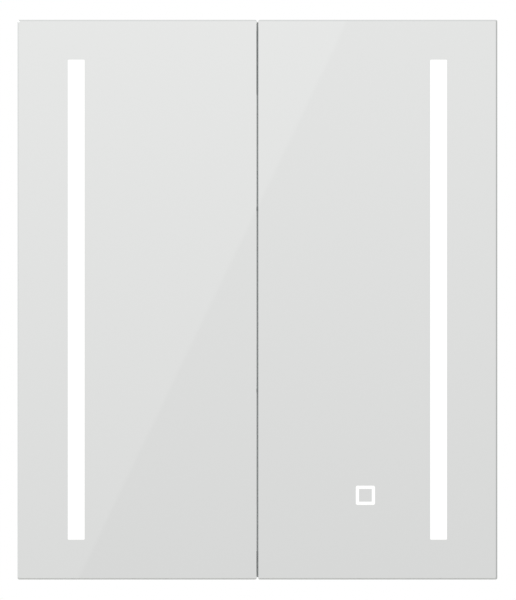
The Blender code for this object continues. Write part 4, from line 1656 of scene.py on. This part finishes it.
@dataclass
class Bumpers:
    """Domed drops that the doors close against."""

    fullness: float = 0.7
    steps: int = 6
    step_degrees: float = 15.0
    first_degrees: float = 11.0
    sides: int = 36

    def drop(self, low: Vector, high: Vector) -> Mesh:
        """One drop, in the room between two corners.

        Args:
            low: the room's lowest corner.
            high: the room's highest corner.

        Returns:
            The drop.
        """
        radius, length = (high.x - low.x) / 2, high.y - low.y
        profile = [(0.0, radius)]
        for step in range(self.steps):
            angle = math.radians(self.first_degrees + self.step_degrees * step)
            profile.append((length * math.sin(angle), radius * math.cos(angle) ** self.fullness))
        base = Vector(((low.x + high.x) / 2, high.y, (low.z + high.z) / 2))
        return turned(profile, base, -FORTH, self.sides)

    def build(self) -> None:
        """Make the four drops."""
        part = Part("cabinet", "bumper_rubber")
        for name in (f"{side.word}_{level.word}_bumper" for side in Side for level in Level):
            part.add(f"{name}_drop", self.drop(*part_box(name)), [DROP_RUBBER], [name])


@dataclass
class HiddenLights:
    """The LED channels and tapes between the mirrors, which keep their solids."""

    def build(self) -> None:
        """Dress the solids."""
        for side in Side:
            for word, finish in (("led_channel", ALUMINIUM), ("led_strip", TAPE)):
                solid = frame["nodes"][f"{side.word}_{word}"]
                solid.data.materials.clear()
                solid.data.materials.append(finish.build())
                LOG.info("dressed %s", solid.name)


# ---------------------------------------------------------------- the studio


@dataclass(frozen=True)
class Lamp:
    """A square soft light that faces the cabinet.

    The panes show it where it is mirrored, and otherwise it only lights the white boards.
    """

    name: str
    place: tuple[float, float, float]
    size: float
    watts: float
    mirrored: bool = False

    def build(self) -> None:
        """Hang the lamp."""
        data = bpy.data.lights.new(self.name, "AREA")
        data.size = self.size
        data.energy = self.watts
        lamp = bpy.data.objects.new(self.name, data)
        lamp.location = self.place
        lamp.rotation_euler = (-Vector(self.place)).to_track_quat("-Z", "Y").to_euler()
        lamp.visible_camera = False
        lamp.visible_glossy = self.mirrored
        bpy.context.scene.collection.objects.link(lamp)


LAMPS = (
    Lamp("left_softbox", (-2.6, -1.4, 1.6), 1.4, 14.0, mirrored=True),
    Lamp("right_rear_softbox", (2.2, 2.4, 1.2), 1.6, 9.0),
    Lamp("top_light", (-0.4, 1.3, 2.6), 1.6, 9.0),
)


def stage_sheet(name: str, corners: Sequence[Vector], material: Material) -> Object:
    """A flat sheet that is part of the room, and not of the cabinet.

    Args:
        name: its name.
        corners: its outline.
        material: its material.

    Returns:
        The sheet.
    """
    mesh = bmesh.new()
    mesh.faces.new([mesh.verts.new(corner) for corner in corners])
    data = bpy.data.meshes.new(name)
    mesh.to_mesh(data)
    mesh.free()
    data.materials.append(material)
    sheet = bpy.data.objects.new(name, data)
    bpy.context.scene.collection.objects.link(sheet)
    return sheet


@dataclass
class Studio:
    """Pale floor, soft light and a camera square to the doors.

    The panes show a big soft screen behind the camera, brighter at the top, with a faint step
    along a slanted line. The room's own light is a little stronger from the left and from above.
    Light may bounce many times, because an inner mirror and the back mirror face each other.
    """

    picture_height: float = 0.750
    distance: float = 2.8
    sensor: float = 36.0
    aim: tuple[float, float] = (0.00074, -0.0004)
    floor_drop: float = 0.95
    floor_radius: float = 3.6
    floor_fade: float = 1.2
    floor_sides: int = 96
    screen_behind: float = 1.1
    screen_half: tuple[float, float] = (1.7, 1.5)
    screen_level: float = 0.8352
    screen_slope: float = 0.1493
    screen_step: float = 0.0250
    line_across: float = -0.0562
    line_slope: float = 0.482
    line_softness: float = 0.004
    room_level: float = 0.68
    room_lean: tuple[float, float, float] = (-0.1625, 0.0, 0.13)
    mirror_bounces: int = 24

    def build(self) -> None:
        """Set up the camera, the room and the lights."""
        front = CAD_BOX[0].y
        self.camera(front)
        self.room()
        self.screen(front)
        self.floor()
        for lamp in LAMPS:
            lamp.build()
        bpy.context.scene.view_settings.view_transform = "Standard"
        light_paths = bpy.context.scene.cycles
        light_paths.max_bounces = self.mirror_bounces
        light_paths.glossy_bounces = self.mirror_bounces

    def camera(self, front: float) -> None:
        """A long lens square to the doors.

        Args:
            front: the doors' front plane.
        """
        data = bpy.data.cameras.new("camera")
        data.sensor_width = self.sensor
        data.lens = self.sensor * self.distance / self.picture_height
        data.clip_end = 50.0
        camera = bpy.data.objects.new("camera", data)
        camera.location = (self.aim[0], front - self.distance, self.aim[1])
        camera.rotation_euler = (math.radians(90), 0, 0)
        bpy.context.scene.collection.objects.link(camera)
        bpy.context.scene.camera = camera

    def room(self) -> None:
        """A white backdrop, and soft light that leans to the left and up."""
        world = bpy.data.worlds.new("room")
        bpy.context.scene.world = world
        world.use_nodes = True
        tree = world.node_tree
        shader = tree.nodes["Background"]
        place = add_node(tree, "ShaderNodeTexCoord")
        leaning = {0: place.outputs["Generated"], 1: self.room_lean}
        lean = add_node(tree, "ShaderNodeVectorMath", leaning, operation="DOT_PRODUCT")
        levelled = {0: lean.outputs["Value"], 1: self.room_level}
        level = add_node(tree, "ShaderNodeMath", levelled, operation="ADD")
        path = add_node(tree, "ShaderNodeLightPath")
        either = {"Factor": path.outputs["Is Camera Ray"], "A": level.outputs[0], "B": 1.0}
        add_node(tree, "ShaderNodeMix", either, {"Result": shader.inputs["Color"]}, data_type="FLOAT")

    def screen(self, front: float) -> None:
        """The soft screen behind the camera that the panes reflect.

        Args:
            front: the doors' front plane.
        """
        reach = self.distance + self.screen_behind
        wide, high = self.screen_half
        corners = [seen_from_front(a * wide, b * high, front - reach) for a, b in SQUARE]
        material = self.screen_light(1 + reach / self.distance)
        screen = stage_sheet("soft_screen", corners, material)
        screen.visible_camera = False
        screen.visible_shadow = False

    def screen_light(self, spread: float) -> Material:
        """The screen's light: brighter at the top, with a step along a slanted line.

        Args:
            spread: how much wider the screen is than what the doors show of it.

        Returns:
            The material.
        """
        material = bpy.data.materials.new("soft_screen_light")
        material.use_nodes = True
        tree = material.node_tree
        tree.nodes.clear()
        place = add_node(tree, "ShaderNodeTexCoord")
        split = add_node(tree, "ShaderNodeSeparateXYZ", {0: place.outputs["Object"]})
        across = {0: split.outputs["X"], 1: 1 / spread, 2: -self.line_across}
        shifted = add_node(tree, "ShaderNodeMath", across, operation="MULTIPLY_ADD")
        slant = {0: split.outputs["Z"], 1: -self.line_slope / spread, 2: shifted.outputs[0]}
        beyond = add_node(tree, "ShaderNodeMath", slant, operation="MULTIPLY_ADD")
        step_inputs = {
            "Value": beyond.outputs[0],
            "From Min": -self.line_softness,
            "From Max": self.line_softness,
            "To Min": self.screen_level,
            "To Max": self.screen_level - self.screen_step,
        }
        step = add_node(tree, "ShaderNodeMapRange", step_inputs, interpolation_type="SMOOTHSTEP")
        rise = {0: split.outputs["Z"], 1: self.screen_slope / spread, 2: step.outputs["Result"]}
        level = add_node(tree, "ShaderNodeMath", rise, operation="MULTIPLY_ADD")
        glow = add_node(tree, "ShaderNodeEmission", {"Strength": level.outputs[0]})
        add_node(tree, "ShaderNodeOutputMaterial", {"Surface": glow.outputs[0]})
        return material

    def floor(self) -> None:
        """A pale round floor that fades out towards its rim."""
        material = FLOOR_PAINT.build()
        tree = material.node_tree
        place = add_node(tree, "ShaderNodeTexCoord")
        reach = add_node(tree, "ShaderNodeVectorMath", {0: place.outputs["Object"]}, operation="LENGTH")
        ends = {"From Min": self.floor_radius, "From Max": self.floor_fade}
        rim = {"Value": reach.outputs["Value"], **ends}
        solid = add_node(tree, "ShaderNodeMapRange", rim, interpolation_type="SMOOTHSTEP").outputs[0]
        tree.links.new(solid, tree.nodes["Principled BSDF"].inputs["Alpha"])
        level = CAD_BOX[0].z - self.floor_drop
        ring = circle((0.0, 0.0), self.floor_radius, self.floor_sides)
        stage_sheet("floor", [Vector((a, b, level)) for a, b in ring], material)


def main() -> None:
    """Build the studio and every sub-assembly in order."""
    logging.basicConfig(level=logging.INFO, format="%(name)s: %(message)s")
    Studio().build()
    Carcass().build()
    Shelving().build()
    for side in Side:
        Door(side).build()
        for level in Level:
            Hinge(side, level).build()
    TouchSwitch().build()
    LightDriver().build()
    CableGland().build()
    Bumpers().build()
    HiddenLights().build()


if __name__ == "__main__":
    main()
